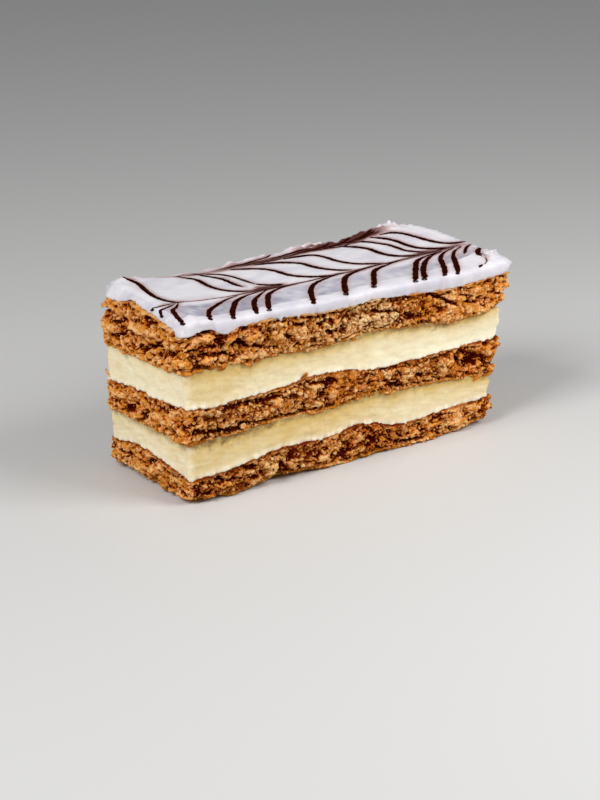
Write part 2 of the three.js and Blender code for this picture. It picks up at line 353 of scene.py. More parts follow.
class Plan:
    """Columns of points round the slice, anticlockwise from its near front corner"""

    def __init__(self, pitch):
        self.long = round(LENGTH / pitch)
        self.short = round(DEPTH / pitch)
        self.count = 2 * (self.long + self.short)
        lengthwise = np.arange(self.long) / self.long
        across = np.arange(self.short) / self.short
        x = np.concatenate([lengthwise, np.ones(self.short), 1 - lengthwise, np.zeros(self.short)]) * LENGTH
        y = np.concatenate([np.zeros(self.long), across, np.ones(self.long), 1 - across]) * DEPTH
        core_x = np.clip(x, CORNER_RADIUS, LENGTH - CORNER_RADIUS)
        core_y = np.clip(y, CORNER_RADIUS, DEPTH - CORNER_RADIUS)
        reach = np.hypot(x - core_x, y - core_y)
        self.out_x = (x - core_x) / reach
        self.out_y = (y - core_y) / reach
        self.x = core_x + self.out_x * CORNER_RADIUS
        self.y = core_y + self.out_y * CORNER_RADIUS

    def stand_out(self, out, z):
        """Points at a distance out from the plan, at heights z"""
        return place(self.x + self.out_x * out, self.y + self.out_y * out, z)

    def corners(self):
        """1 in the middle of each rounded corner and 0 along the sides, for each column"""
        return np.abs(2 * self.out_x * self.out_y) ** 2

    def inset(self, distance):
        """Plan places of the columns, drawn in from the sides by a distance"""
        x = distance + self.x * (LENGTH - 2 * distance) / LENGTH
        y = distance + self.y * (DEPTH - 2 * distance) / DEPTH
        return x, y


class Solid:
    """A mesh read by rays, in millimetres"""

    def __init__(self, mesh):
        corners = [vertex.co / MM for vertex in mesh.vertices]
        self.tree = BVHTree.FromPolygons(corners, [face.vertices[:] for face in mesh.polygons])
        self.low = min(corner.z for corner in corners)
        self.high = max(corner.z for corner in corners)

    def met(self, starts, ends):
        """Share of the way from each start to its end at which the solid is met, or nan"""
        shares = np.full(len(starts), np.nan)
        ways = ends - starts
        lengths = np.linalg.norm(ways, axis=1)
        for index, (start, way, length) in enumerate(zip(starts, ways, lengths)):
            distance = self.tree.ray_cast(Vector(start), Vector(way), length)[3]
            if distance is not None:
                shares[index] = distance / length
        return shares

    def level(self, x, y, from_above):
        """Height of the solid's upper or lower surface over plan places"""
        middle = place(x, y, (self.low + self.high) / 2)
        above = middle + [0, 0, OVERHEAD]
        below = middle - [0, 0, OVERHEAD]
        starts, ends = (above, below) if from_above else (below, above)
        shares = filled(self.met(starts, ends))
        return starts[:, 2] + shares * (ends[:, 2] - starts[:, 2])

    def rims(self, plan):
        """Heights of the foot and the head of a layer's side, for each column"""
        x = plan.x - plan.out_x * RIM_READING_INSET
        y = plan.y - plan.out_y * RIM_READING_INSET
        return [blur_round(self.level(x, y, above), 2.5) for above in (False, True)]

    def side(self, plan, foot, head, levels):
        """How far a layer's side stands out from the plan, for rows at levels from 0 to 1"""
        readings = np.linspace(*SIDE_SPAN, SIDE_READINGS)
        rows = []
        for reading in readings:
            z = foot + (head - foot) * reading
            shares = filled(self.met(plan.stand_out(STAND_OFF, z), plan.stand_out(-STAND_IN, z)))
            rows.append(STAND_OFF - shares * (STAND_OFF + STAND_IN))
        rows = blur(np.array(rows), 0.6, 3)
        share = np.clip((levels - readings[0]) / (readings[-1] - readings[0]), 0, 1)
        return between_rows(rows, share * (SIDE_READINGS - 1))

    def inner_ring(self, plan, inset, from_above, shift):
        """Ring of points at an inset on the upper or lower surface, moved up by a shift"""
        x, y = plan.inset(inset)
        return place(x, y, blur_round(self.level(x, y, from_above), 3) + shift)


def filled(values):
    """Values with the missing ones taken from the known ones on either side"""
    known = np.flatnonzero(~np.isnan(values))
    return np.interp(np.arange(len(values)), known, values[known])


class Side:
    """Rows of points up the side of a layer's solid, and how far they stand out of the slice's plan"""

    def __init__(self, layer, look):
        self.seed = layer["seed"]
        self.grain = look.grain / MM
        self.plan = Plan(self.grain)
        self.x, self.y = self.plan.x, self.plan.y
        self.solid = Solid(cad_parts[layer["node"]].data)
        self.foot, self.head = self.solid.rims(self.plan)

    def fill(self, overlap=0):
        """Sets the rows from the foot to the head, which reach past the solid by an overlap"""
        self.height = self.head - self.foot
        self.levels = np.linspace(0, 1, round(self.height.mean() / self.grain) + 1)
        self.base = self.solid.side(self.plan, self.foot + overlap, self.head - overlap, self.levels)
        self.z = self.foot + self.height * self.levels[:, None]
        self.from_foot = self.levels[:, None] * self.height
        self.from_head = (1 - self.levels)[:, None] * self.height

    def rough(self, wide, tall, step):
        """Noise over the side whose bumps are so wide and so tall, with a seed of its own"""
        return rough(self.x, self.y, self.z, wide, tall, self.seed + step)

    def rough_edge(self, wide, step):
        """Noise along the side, the same at every height"""
        return rough_edge(self.x, self.y, wide, self.seed + step)


# A side's look runs over from the front's into the near end's within about this far of the corner
CORNER_RUN = 1.5


def on_near_end(x):
    """1 on the near end, and less and less along the front"""
    return np.exp(-x / CORNER_RUN)


def over_sides(x, front, end):
    """What is given at places along the front and as one value for the near end"""
    near = on_near_end(x)
    return along(front, x) * (1 - near) + end * near


# Meshes --------


def band_faces(first, second, count, flip=False):
    """Faces between two rings of points that start at the given indices"""
    here = np.arange(count)
    after = (here + 1) % count
    faces = np.stack([first + here, first + after, second + after, second + here], axis=1)
    return faces[:, ::-1] if flip else faces


def ladder_faces(first, plan, facing_up):
    """Faces across a ring: rungs between its long sides and a fan at each end"""
    long, short = plan.long, plan.short
    at = lambda index: first + index % plan.count
    near_back = 2 * long + short
    faces = [(at(i), at(i + 1), at(near_back - i - 1), at(near_back - i)) for i in range(1, long - 1)]
    for corner in (long, near_back):
        middle = math.ceil(short / 2)
        for i in range(short):
            apex = corner - 1 if i < middle else corner + short + 1
            faces.append((at(corner + i), at(corner + i + 1), at(apex)))
        faces.append((at(corner - 1), at(corner + middle), at(corner + short + 1)))
    return [face if facing_up else face[::-1] for face in faces]


def make_piece(name, points, faces, attributes=None, smooth=True):
    """Object with a mesh of points in millimetres, its faces and its named values at the points"""
    mesh = bpy.data.meshes.new(name)
    mesh.from_pydata((np.asarray(points) * MM).tolist(), [], faces)
    for title, values in (attributes or {}).items():
        layer = mesh.attributes.new(title, "FLOAT", "POINT")
        layer.data.foreach_set("value", np.asarray(values, dtype=np.float32).ravel())
    if smooth:
        mesh.shade_smooth()
    mesh.update()
    piece = bpy.data.objects.new(name, mesh)
    bpy.context.scene.collection.objects.link(piece)
    return piece


def fresh_piece(name):
    """Removes a piece of that name, so that its operator can be run again"""
    old = bpy.data.objects.get(name)
    if old:
        bpy.data.objects.remove(old)


def layer_mesh(name, side, rings, under, over, attributes):
    """Closed layer: its side's rings, and hidden faces that lie so far under and over its solid"""
    rows, columns = rings.shape[:2]
    points = [rings.reshape(-1, 3)]
    faces = [band_faces(row * columns, (row + 1) * columns, columns) for row in range(rows - 1)]
    titles = {title: [values.ravel()] for title, values in attributes.items()}
    start = rows * columns
    hidden = []
    for edge, facing_up, shift in ((0, False, -under), (rows - 1, True, over)):
        last = edge * columns
        for inset in CAP_INSETS:
            points.append(side.solid.inner_ring(side.plan, inset, facing_up, shift))
            faces.append(band_faces(last, start, columns, flip=not facing_up))
            for title, values in attributes.items():
                titles[title].append(values[edge])
            last = start
            start += columns
        hidden += ladder_faces(last, side.plan, facing_up)
    faces = np.concatenate(faces).tolist() + hidden
    attributes = {title: np.concatenate(parts) for title, parts in titles.items()}
    return make_piece(name, np.concatenate(points), faces, attributes)


# Shaders --------

MIX_FACTOR, MIX_A, MIX_B, MIX_COLOUR = 0, 6, 7, 2


class Socket:
    """A value in a shader; sums with it add its Math nodes"""

    def __init__(self, finish, socket):
        self.finish = finish
        self.socket = socket

    def math(self, operation, *values):
        """Value of a Math node that starts from this one"""
        return self.finish.math(operation, self, *values)

    def __add__(self, other):
        return self.math("ADD", other)

    __radd__ = __add__

    def __sub__(self, other):
        return self.math("SUBTRACT", other)

    def __rsub__(self, other):
        return self.finish.math("SUBTRACT", other, self)

    def __mul__(self, other):
        return self.math("MULTIPLY", other)

    __rmul__ = __mul__

    def clamped(self):
        """The value kept from 0 to 1"""
        return self.math("MINIMUM", 1.0).math("MAXIMUM", 0.0)

    def between(self, low, high):
        """0 below low, 1 above high, and a straight rise between them"""
        return ((self - low) * (1 / (high - low))).clamped()


class Finish:
    """A material whose shader is written as expressions"""

    def __init__(self, name):
        self.material = bpy.data.materials.new(name)
        self.material.use_nodes = True
        self.tree = self.material.node_tree
        self.tree.nodes.clear()
        self.places = self.add("TexCoord").outputs["Object"]

    def add(self, kind, settings=None, inputs=None):
        """Shader node of a kind, with its settings and the values or links of its sockets"""
        node = self.tree.nodes.new("ShaderNode" + kind)
        for key, value in (settings or {}).items():
            if key == "stops":
                for stop, (position, shade) in zip(self.stops(node, len(value)), value):
                    stop.position = position
                    stop.color = (*shade, 1)
            else:
                setattr(node, key, value)
        for key, value in (inputs or {}).items():
            if isinstance(value, Socket):
                value = value.socket
            if isinstance(value, bpy.types.NodeSocket):
                self.tree.links.new(value, node.inputs[key])
            else:
                node.inputs[key].default_value = value
        return node

    @staticmethod
    def stops(node, count):
        """The stops of a colour ramp, made to number count"""
        elements = node.color_ramp.elements
        while len(elements) < count:
            elements.new(1)
        return elements

    def math(self, operation, *values):
        """Value of a Math node"""
        node = self.add("Math", {"operation": operation}, dict(enumerate(values)))
        return Socket(self, node.outputs[0])

    def value(self, title):
        """Value that the mesh holds at its points"""
        node = self.add("Attribute", {"attribute_type": "GEOMETRY", "attribute_name": title})
        return Socket(self, node.outputs["Fac"])

    def stretched_places(self, stretch):
        """Places on the object, squeezed along each axis"""
        node = self.add("VectorMath", {"operation": "MULTIPLY"}, {0: self.places, 1: stretch})
        return node.outputs[0]

    def speckle(self, width, detail=2.0, stretch=(1, 1, 1), distortion=0.0):
        """Noise from 0 to 1 with features of a width in millimetres"""
        node = self.add("TexNoise", None, {
            "Vector": self.stretched_places(stretch), "Scale": 1 / (width * MM), "Detail": detail,
            "Distortion": distortion,
        })
        return Socket(self, node.outputs[0])

    def round_cells(self, width, stretch, output):
        """An output of round cells of a width in millimetres"""
        node = self.add("TexVoronoi", {"feature": "F1"}, {
            "Vector": self.stretched_places(stretch), "Scale": 1 / (width * MM),
        })
        return Socket(self, node.outputs[output])

    def beads(self, width, stretch):
        """Distance from the middle of each cell, from 0 up to about 1"""
        return self.round_cells(width, stretch, "Distance")

    def chips(self, width, stretch):
        """Flat chips, each with its own share from 0 to 1"""
        return self.round_cells(width, stretch, "Color")

    def mix(self, share, first, second):
        """Colour that runs from the first to the second"""
        node_socket = bpy.types.NodeSocket
        first, second = [c if isinstance(c, node_socket) else (*c, 1) for c in (first, second)]
        inputs = {MIX_FACTOR: share, MIX_A: first, MIX_B: second}
        node = self.add("Mix", {"data_type": "RGBA"}, inputs)
        return node.outputs[MIX_COLOUR]

    def shades(self, share, stops):
        """Colour that runs through stops"""
        return self.add("ValToRGB", {"stops": stops}, {"Fac": share}).outputs["Color"]

    def relief(self, height, depth):
        """Normal of a fine relief whose full height is a depth in millimetres"""
        node = self.add("Bump", None, {"Height": height, "Distance": depth * MM, "Strength": 1.0})
        return node.outputs["Normal"]

    def surface(self, inputs):
        """Ends the shader in its surface and gives the material"""
        shader = self.add("BsdfPrincipled", None, inputs)
        self.add("OutputMaterial", None, {"Surface": shader.outputs["BSDF"]})
        return self.material


# What the baked pastry's finish reads at the points of a mesh
PASTRY_VALUES = ("lift", "tone", "crust", "fringe", "toast", "bake")


def pastry_finish(look):
    """Baked crumb: pale on its tips and dark in its gaps, partly its own colour and partly painted light and
    shade, brown on its crusts
    """
    finish = Finish("baked pastry")
    lift, tone, crust, fringe, toast, bake = [finish.value(title) for title in PASTRY_VALUES]
    bead = finish.beads(0.62, (1, 1, 1.2))
    grain = finish.speckle(0.36, 3.0)
    patches = finish.speckle(2.8, 2.0)
    chips = finish.chips(0.75, (1, 1, 1.3))
    butter = finish.chips(1.5, (0.8, 0.8, 1.2))
    holes = (1 - bead.between(0.12, 0.36)) * (1 - toast)
    # height: painted highlight on the tips and painted shade in the gaps, small holes and between the beads,
    # together with the crumb's own grain, chips and browning
    height = lift * 1.15 - 0.10 + (0.5 - bead) * 0.28 + (grain - 0.5) * 0.50 + (chips - 0.5) * 0.34
    height = height - bake * 0.2 - holes * 0.45
    pale = finish.shades(height.clamped(), [
        (0.04, look.deep), (0.24, look.crust), (0.55, look.crumb),
        (0.97, look.pale),
    ])
    toasted = finish.shades(height.clamped(), [
        (0.04, look.deep), (0.29, look.ember), (0.55, look.toasted),
        (0.97, look.glow),
    ])
    browned = ((tone - 0.5) * 0.7 + (patches - 0.5) * 1.3 + toast * 1.15 - 0.05).clamped()
    shade = finish.mix(browned, pale, toasted)
    soaked = butter.between(0.53, 0.63) * toast.between(0.25, 0.8) * height.between(0.20, 0.45) * 0.7
    shade = finish.mix(soaked, shade, look.gold)
    shade = finish.mix((fringe * (1.25 - height)).clamped(), shade, look.fringe)
    shade = finish.mix((crust * (1.25 - height)).clamped(), shade, look.crust)
    return finish.surface({
        "Base Color": shade,
        "Roughness": 0.66 - grain * 0.2,
        "Specular IOR Level": 0.02,
        "Coat Weight": height.between(0.55, 0.95) * grain.between(0.45, 0.75) * 0.35,
        "Coat Roughness": 0.3,
        "Subsurface Weight": 0.25,
        "Subsurface Radius": (1.0, 0.35, 0.12),
        "Subsurface Scale": 0.0009,
        "Normal": finish.relief((0.8 - bead) * 0.6 + grain * 0.4 + chips * 0.4, 0.18),
    })


def cream_finish(look):
    """Cut custard cream with faint drag marks, a ragged edge painted paler as a highlight, and painted shade
    under the pastry
    """
    finish = Finish("custard cream")
    froth, rich, soaked = [finish.value(title) for title in ("froth", "rich", "soaked")]
    drags = finish.speckle(2.4, 2.0, (0.35, 0.35, 1.0), 0.8)
    mottle = finish.speckle(3.2, 3.0, (0.8, 0.8, 1.0), 0.5)
    fine = finish.speckle(0.7, 2.0)
    # rich: the cream's own yellow together with painted shade under the pastry, towards the near corner and
    # in small holes
    deeper = (drags - 0.5) * 0.5 + (mottle - 0.5) * 0.6 + rich
    shade = finish.mix(deeper.clamped(), look.custard, look.deep)
    # Brown under the pastry: partly butter soaked in, partly painted shadow of the pastry
    shade = finish.mix((soaked * (0.5 + fine)).clamped(), shade, look.butter)
    # Painted highlight on the ragged edge and the corner
    shade = finish.mix((froth * (0.6 + fine * 0.9)).clamped(), shade, look.froth)
    return finish.surface({
        "Base Color": shade,
        "Roughness": 0.40 + fine * 0.15,
        "Subsurface Weight": 0.25,
        "Subsurface Radius": (1.0, 0.75, 0.4),
        "Subsurface Scale": 0.0018,
        "Normal": finish.relief(drags * 0.6 + mottle * 0.6 + fine * 0.12, 0.2),
    })


def icing_finish(look):
    """White icing, satin and a little translucent, stained along the drawn chocolate, with painted shade on
    its side and near end
    """
    finish = Finish("fondant icing")
    smear = finish.value("smear")
    thin = finish.value("thin")
    streaks = finish.speckle(0.6, 3.0, (0.10, 1.0, 1.0), 0.4)
    cloud = finish.speckle(6.0, 2.0, (0.6, 1.0, 1.0))
    wisps = finish.speckle(2.4, 2.0, (0.6, 1.0, 1.0), 0.6)
    fine = finish.speckle(0.9, 2.0)
    shade = finish.mix(cloud.between(0.40, 0.72) * 0.8, look.fondant, look.shadow)
    # thin holds thin icing on the lid and painted shade on the side and near end
    shade = finish.mix((thin * (0.35 + wisps * 0.9)).clamped(), shade, look.clear)
    stained = (smear * (0.35 + streaks * 1.3)).clamped()
    shade = finish.mix(stained.between(0.0, 0.4), shade, look.tinge)
    shade = finish.mix(stained.between(0.3, 0.9), shade, look.smear)
    return finish.surface({
        "Base Color": shade,
        "Roughness": 0.42 + fine * 0.14,
        "Coat Weight": 0.04,
        "Coat Roughness": 0.2,
        "Subsurface Weight": 0.3,
        "Subsurface Radius": (1.0, 0.9, 1.0),
        "Subsurface Scale": 0.002,
        "Normal": finish.relief(cloud * 1.0 + fine * 0.15, 0.16),
    })


def chocolate_finish(look):
    """Dark chocolate with small glints"""
    finish = Finish("dark chocolate")
    fine = finish.speckle(0.45, 2.0)
    tip = finish.value("tip")
    shade = finish.mix(fine.between(0.48, 0.75) * 0.6, look.dark, look.streak)
    return finish.surface({
        "Base Color": shade,
        "Roughness": 0.5 + fine * 0.15,
        "Specular IOR Level": 0.0,
        "Coat Weight": (tip * fine.between(0.4, 0.6)).clamped(),
        "Coat Roughness": 0.12,
        "Normal": finish.relief(fine, 0.14),
    })


def dress(piece, node_names, material):
    """Gives a piece its material, its body and the solids that it stands for"""
    piece.data.materials.append(material)
    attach(piece, "root")
    if node_names:
        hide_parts(*node_names)


# Pastry --------

# Layers of pastry: the seed, how many sheets it baked into, how open its crumb is, how brown its
# crust is, how orange the near end is toasted and how dark it is baked, and the same at places along
# the front. The more toasted, the flakier; the paler, the more it is made of small beads
PASTRY_LAYERS = (
    {
        "node": "pastry_bottom", "seed": 100, "sheets": 3, "open": 0.9, "crust": 1.0,
        "end_toast": 0.7, "end_bake": 0.05,
        "toast": (
            (0, 0.5), (12, 0.35), (20, 0.45), (28, 0.25), (40, 0.35), (52, 0.5), (66, 0.7), (78, 0.45),
            (92, 0.7), (99, 0.6), (112, 0.8),
        ),
        "bake": (
            (0, 1.65), (10, 1.75), (20, 1.1), (28, 0.1), (36, 1.3), (46, 0.75), (51, -0.6), (58, 0.65),
            (68, 1.5), (76, 0.95), (84, -0.3), (92, 0.95), (99, -1.6), (108, 0.6),
        ),
    },
    {
        "node": "pastry_middle", "seed": 200, "sheets": 4, "open": 0.8, "crust": 1.0,
        "end_toast": 0.8, "end_bake": 0.05,
        "toast": (
            (0, 0.4), (10, 0.3), (24, 0.4), (28, 0.5), (36, 0.45), (46, 0.5), (52, 0.8), (60, 0.65),
            (70, 0.45), (90, 0.5), (98, 0.95), (112, 0.75),
        ),
        "bake": (
            (0, 0.45), (10, 0.95), (22, 0.95), (30, 0.5), (36, 0.3), (50, 0.5), (70, 0.5), (90, 0.5),
            (99, 0.7), (106, 0.9), (112, 0.4),
        ),
    },
    {
        "node": "pastry_top", "seed": 300, "sheets": 4, "open": 1.0, "crust": 0.15,
        "end_toast": 0.8, "end_bake": 0.05,
        "toast": (
            (0, 0.85), (20, 0.75), (30, 0.45), (50, 0.35), (58, 0.1), (68, 0.0), (74, 0.4), (83, 0.9),
            (90, 0.5), (100, 0.75), (112, 0.8),
        ),
        "bake": (
            (0, 0.3), (10, 0.85), (18, 0.1), (26, -0.1), (36, 0.1), (44, 0.2), (51, 0.7), (58, -0.6),
            (68, 0.0), (75, 0.55), (83, 0.95), (91, -0.35), (98, -0.3), (112, -0.3),
        ),
    },
)

# The crumb keeps this close to the plan at a layer's top and bottom edge, within this height
RIM_STAND = 0.85
RIM_HEIGHT = 0.9

# How far the top layer's upper edge is pushed out under the icing, and where it is tucked in instead:
# within this many square millimetres of the near corner at the back
RIM_PUSH = 0.9
TUCKED_CORNER = 30

# No hollow is deeper than this
DEEPEST = 3.2

# The top layer reaches this far up past the icing's lower edge
HEAD_OVERLAP = 0.4

# The broad swells and the smaller crags of the two ends
END_SWELL = 0.8
END_CRAGS = 0.8

# At the far front corner the top pastry's foot rises by this much, and the cream under it with it
FAR_RISE = 1.7


def far_rise(x, y):
    """How far the top pastry's foot is raised at places of the plan"""
    return FAR_RISE * ramp(x, 99.0, LENGTH) ** 2 * (1 - ramp(y, 4.0, 16.0))


# The large gaps of the front and of the near end: where each starts and ends along its face and in
# height, half its width and its depth
FRONT_GAPS = (
    (1.2, 47.5, 4.2, 47, 0.5, 2), (11.2, 49.2, 13.4, 46.6, 0.8, 1.6), (7.6, 47.8, 10.2, 46.8, 0.7, 1.8),
    (6, 45.3, 11.4, 44.4, 0.7, 2), (11.4, 44.4, 16, 43.8, 0.35, 1.5), (17.2, 46, 20, 47, 0.8, 2.2),
    (12.8, 44.8, 16.8, 42.4, 0.7, 1), (3.6, 42.2, 7.6, 41, 0.7, 1), (19.6, 45.3, 25, 44.2, 0.35, 1.4),
    (25, 44.2, 29, 42.3, 0.4, 1.4), (28.5, 42.9, 31.5, 42.5, 0.35, 1.2), (34.6, 45.4, 36, 44.6, 0.6, 1.5),
    (36.3, 48.5, 41, 47.3, 0.4, 1.6), (49.6, 43.6, 51.2, 42.6, 0.7, 2), (54.2, 44, 56, 43.5, 0.6, 2),
    (46.5, 46.5, 48, 45.9, 0.4, 1.3), (41.6, 44.9, 43, 43.2, 0.4, 1.2), (66.8, 45.8, 75, 44.3, 0.32, 1.5),
    (75, 44.3, 79.6, 42.5, 0.35, 1.5), (80, 41.5, 87, 40.6, 0.9, 0.9), (80.4, 38.8, 87.2, 38, 0.35, 1.3),
    (89, 46.9, 92.6, 44.8, 0.55, 1.8), (92.6, 44.8, 97.8, 41.8, 0.5, 1.9),
    (101.3, 41.8, 105.2, 40.9, 0.35, 1.4), (110, 43.4, 115, 41.8, 0.4, 1.6),
    (98.5, 44.6, 104, 43.3, 0.28, 0.9), (0.8, 30, 7.4, 28.5, 0.3, 1), (12.6, 27.7, 17, 27.4, 0.8, 1.3),
    (19.8, 27.6, 24.2, 26.6, 0.55, 1.5), (24.2, 26.6, 31.8, 27.3, 0.55, 1.4),
    (42.6, 28.3, 47, 27.8, 0.4, 1.5), (46, 24.4, 50, 27.3, 1.3, 2), (50.2, 28.2, 52.4, 27.2, 0.7, 1.6),
    (2.4, 22.6, 7.6, 21.4, 0.7, 1.6), (7.6, 21.2, 17, 20.3, 0.75, 1.6), (17, 21.6, 27, 20.8, 0.4, 1.2),
    (27.4, 20.6, 37.4, 20.2, 0.45, 1.3), (38.9, 20.7, 41, 20.1, 0.5, 1.6), (43, 20.2, 56, 19.4, 0.3, 0.8),
    (57.4, 19.7, 58.8, 19, 0.6, 1.6), (66, 27, 75, 26.4, 0.4, 1), (75, 24.9, 76.3, 23.5, 0.45, 1.4),
    (69, 23.2, 74, 22.5, 0.45, 1.5), (71.3, 21.6, 75, 20.8, 0.55, 1.5), (82, 22.4, 84.2, 21.7, 0.45, 1.3),
    (97.4, 24.6, 100.2, 22.4, 0.75, 2.6), (100.2, 22.4, 105.4, 21.3, 0.8, 2.6),
    (98.5, 26, 105, 23.5, 1.2, 1.3), (107.2, 22.5, 109.2, 19, 0.7, 1.4), (108.2, 27, 109.4, 26.3, 0.5, 1.4),
    (6.6, 8, 18, 8.3, 0.35, 1), (18.4, 7.6, 22, 7.2, 0.55, 1.4), (20, 4.2, 22.6, 3.8, 0.5, 1.3),
    (30.6, 0, 30.2, 3.8, 1.3, 2.6), (-2, 0.6, 9, 0.3, 0.9, 1.6), (35, 0.3, 44, 0.3, 0.7, 1.3),
    (30.6, 6.2, 33, 4.6, 0.9, 1.6), (46.4, 7, 47.4, 6.4, 0.45, 1.3), (50, 3.8, 55, 2.6, 1.1, 1.8),
    (54, 6.8, 55.6, 6.1, 0.45, 1.4), (61.4, 4.5, 63.2, 4, 0.5, 1.6), (63.2, 6.6, 65.6, 4.7, 0.5, 1.5),
    (73, 2.6, 83.4, 1.5, 0.4, 1.6), (82.5, 4.2, 84.3, 3.7, 0.45, 1.4), (92.4, 3, 94.6, 2.5, 0.35, 1.2),
    (102.5, 9.9, 105.6, 9, 0.7, 1.6), (10, 5.6, 16.5, 5, 0.3, 0.9), (86, 5.8, 91, 5.2, 0.3, 0.9),
)
NEAR_GAPS = (
    (47.5, 49.9, 38.5, 50.8, 0.6, 2.2), (39.2, 47.6, 31.2, 49.6, 0.6, 2), (35.8, 44.4, 29.8, 46.6, 1.2, 2.4),
    (38.7, 43.4, 36, 42.2, 0.8, 1.1), (25.8, 47.9, 21.6, 47.2, 0.45, 1.4), (21.4, 43.6, 17, 45.2, 0.6, 2.2),
    (17, 45.2, 11, 46.9, 0.6, 2.2), (8.6, 44.9, 3, 46.4, 0.55, 2), (24, 42.6, 21.6, 41.6, 0.7, 1.2),
    (32, 42, 25, 41.2, 0.35, 1), (17, 49, 14.5, 48, 0.5, 1.1), (10.6, 42.4, 4, 43.2, 0.3, 0.9),
    (35, 28.2, 32.2, 28.9, 0.35, 1.1), (23.4, 27.6, 20.6, 26.4, 0.7, 1.5), (10.6, 28.2, 7, 28.8, 0.6, 1.6),
    (34.6, 21, 29.4, 22.8, 0.8, 2.2), (25.6, 21.6, 22, 22.4, 0.75, 2.2), (28.2, 19.2, 25, 20.4, 0.55, 1.5),
    (7.6, 21.1, 4.2, 21.8, 0.5, 1.8), (1.4, 23.6, -1.6, 21.8, 0.9, 1.2), (11.4, 21.6, 9, 21.5, 0.35, 1.2),
    (45, 21.8, 40.6, 22, 0.35, 1.3), (19, 26.6, 11, 27, 0.28, 0.9), (38.4, 6.4, 36.2, 7.4, 0.5, 1.4),
    (22.6, 7.2, 20, 8, 0.6, 1.5), (13.4, 7.4, 7.4, 7.6, 0.45, 1.3), (34, 1.8, 30.6, 2.4, 0.45, 1.4),
    (22.4, 1.8, 20.6, 2.4, 0.45, 1.4), (5.8, 4.3, 2.4, 3.3, 0.6, 1.5), (44, 6.9, 24, 6.7, 0.25, 0.8),
)

# The large lumps: the middle of each along its face and in height, half its length, half its
# height, and how far it stands out
FRONT_LUMPS = (
    (6.2, 50.6, 4.8, 1.9, 0.8), (15.4, 48.8, 1.8, 1.2, 0.5), (21.5, 49, 3.4, 1.3, 0.5),
    (25, 46.9, 4.5, 1.4, 0.6), (31.6, 45.9, 2.6, 1.5, 0.8), (39.5, 44.7, 4, 2.5, 0.8), (50, 44.5, 6, 3, 0.4),
    (25.2, 41.6, 4, 1.6, 0.7), (12.8, 41.9, 2.2, 1.4, 0.7), (9.5, 43.4, 1.5, 0.9, 0.5),
    (22, 39, 1.6, 1.6, 0.5), (63.5, 43.4, 3, 2.2, 0.6), (69, 43.6, 3.2, 2.2, 0.7), (74, 43, 2.4, 1.7, 0.6),
    (85, 42.6, 3.2, 1.4, 0.5), (95.8, 38.8, 5.4, 3.4, 0.9), (105, 44.6, 7.2, 2, 0.5),
    (105.5, 38.4, 4.6, 2, 0.5), (4, 23.6, 3, 1.8, 0.6), (13.8, 23.6, 6, 2.2, 0.6), (24.8, 23, 4, 1.8, 0.5),
    (34, 23.6, 4.5, 2, 0.5), (41.8, 24.8, 2.2, 2.2, 0.4), (45.8, 21.8, 2.6, 1.3, 0.9),
    (50.3, 22.8, 2.2, 1.6, 0.9), (70, 22.8, 5, 1.2, 0.6), (79.5, 24, 2.5, 1.8, 0.5), (87, 24, 5, 1.8, 0.5),
    (92, 21.2, 2.1, 2, 0.9), (94.8, 23.3, 2.3, 1.7, 0.7), (111, 24, 3, 3.4, 0.5), (71.5, 19, 4, 0.9, 0.5),
    (20.2, 6.2, 1.9, 0.8, 0.7), (27.2, 5.6, 3, 2.5, 1), (36, 4.8, 3.8, 1.8, 0.8), (46, 4.1, 2.7, 1.1, 0.8),
    (56.8, 3.4, 4.6, 2, 0.9), (80.2, 3.7, 2, 1.2, 0.7), (98.2, 3.6, 3.2, 3, 1), (102.6, 6.4, 3, 2, 0.8),
    (89, 3.8, 3.5, 1.8, 0.4), (12, 3.4, 5, 1.4, 0.4), (79.5, 0.7, 6.6, 0.6, 0.5),
)
NEAR_LUMPS = (
    (20, 49.4, 10.5, 2, 1.1), (40.5, 45, 5.4, 2, 0.9), (23, 45, 2, 2, 0.6), (4.5, 43, 7, 2.2, 0.8),
    (36, 53.6, 9, 2.2, 0.7), (30, 41.2, 5, 1.2, 0.3), (41, 25, 6, 2.8, 0.6), (12.5, 23.8, 8, 2, 0.6),
    (3.4, 20.2, 1.6, 1.2, 0.7), (27.5, 20.9, 2.4, 1.2, 0.6), (43, 19.5, 4.5, 0.9, 0.8),
    (40, 4.8, 3.6, 2.2, 0.6), (28.8, 4.4, 6, 1.8, 0.7), (17.8, 5, 5, 1.8, 0.6), (3.6, 1.4, 2.6, 1.5, 1),
)


def from_run(across, up, run):
    """Distance of places on a face from a straight run over it, and the share of the run that is nearest"""
    x0, z0, x1, z1 = run
    way = ((across - x0) * (x1 - x0) + (up - z0) * (z1 - z0)) / ((x1 - x0) ** 2 + (z1 - z0) ** 2)
    way = np.clip(way, 0, 1)
    return np.hypot(across - x0 - way * (x1 - x0), up - z0 - way * (z1 - z0)), way


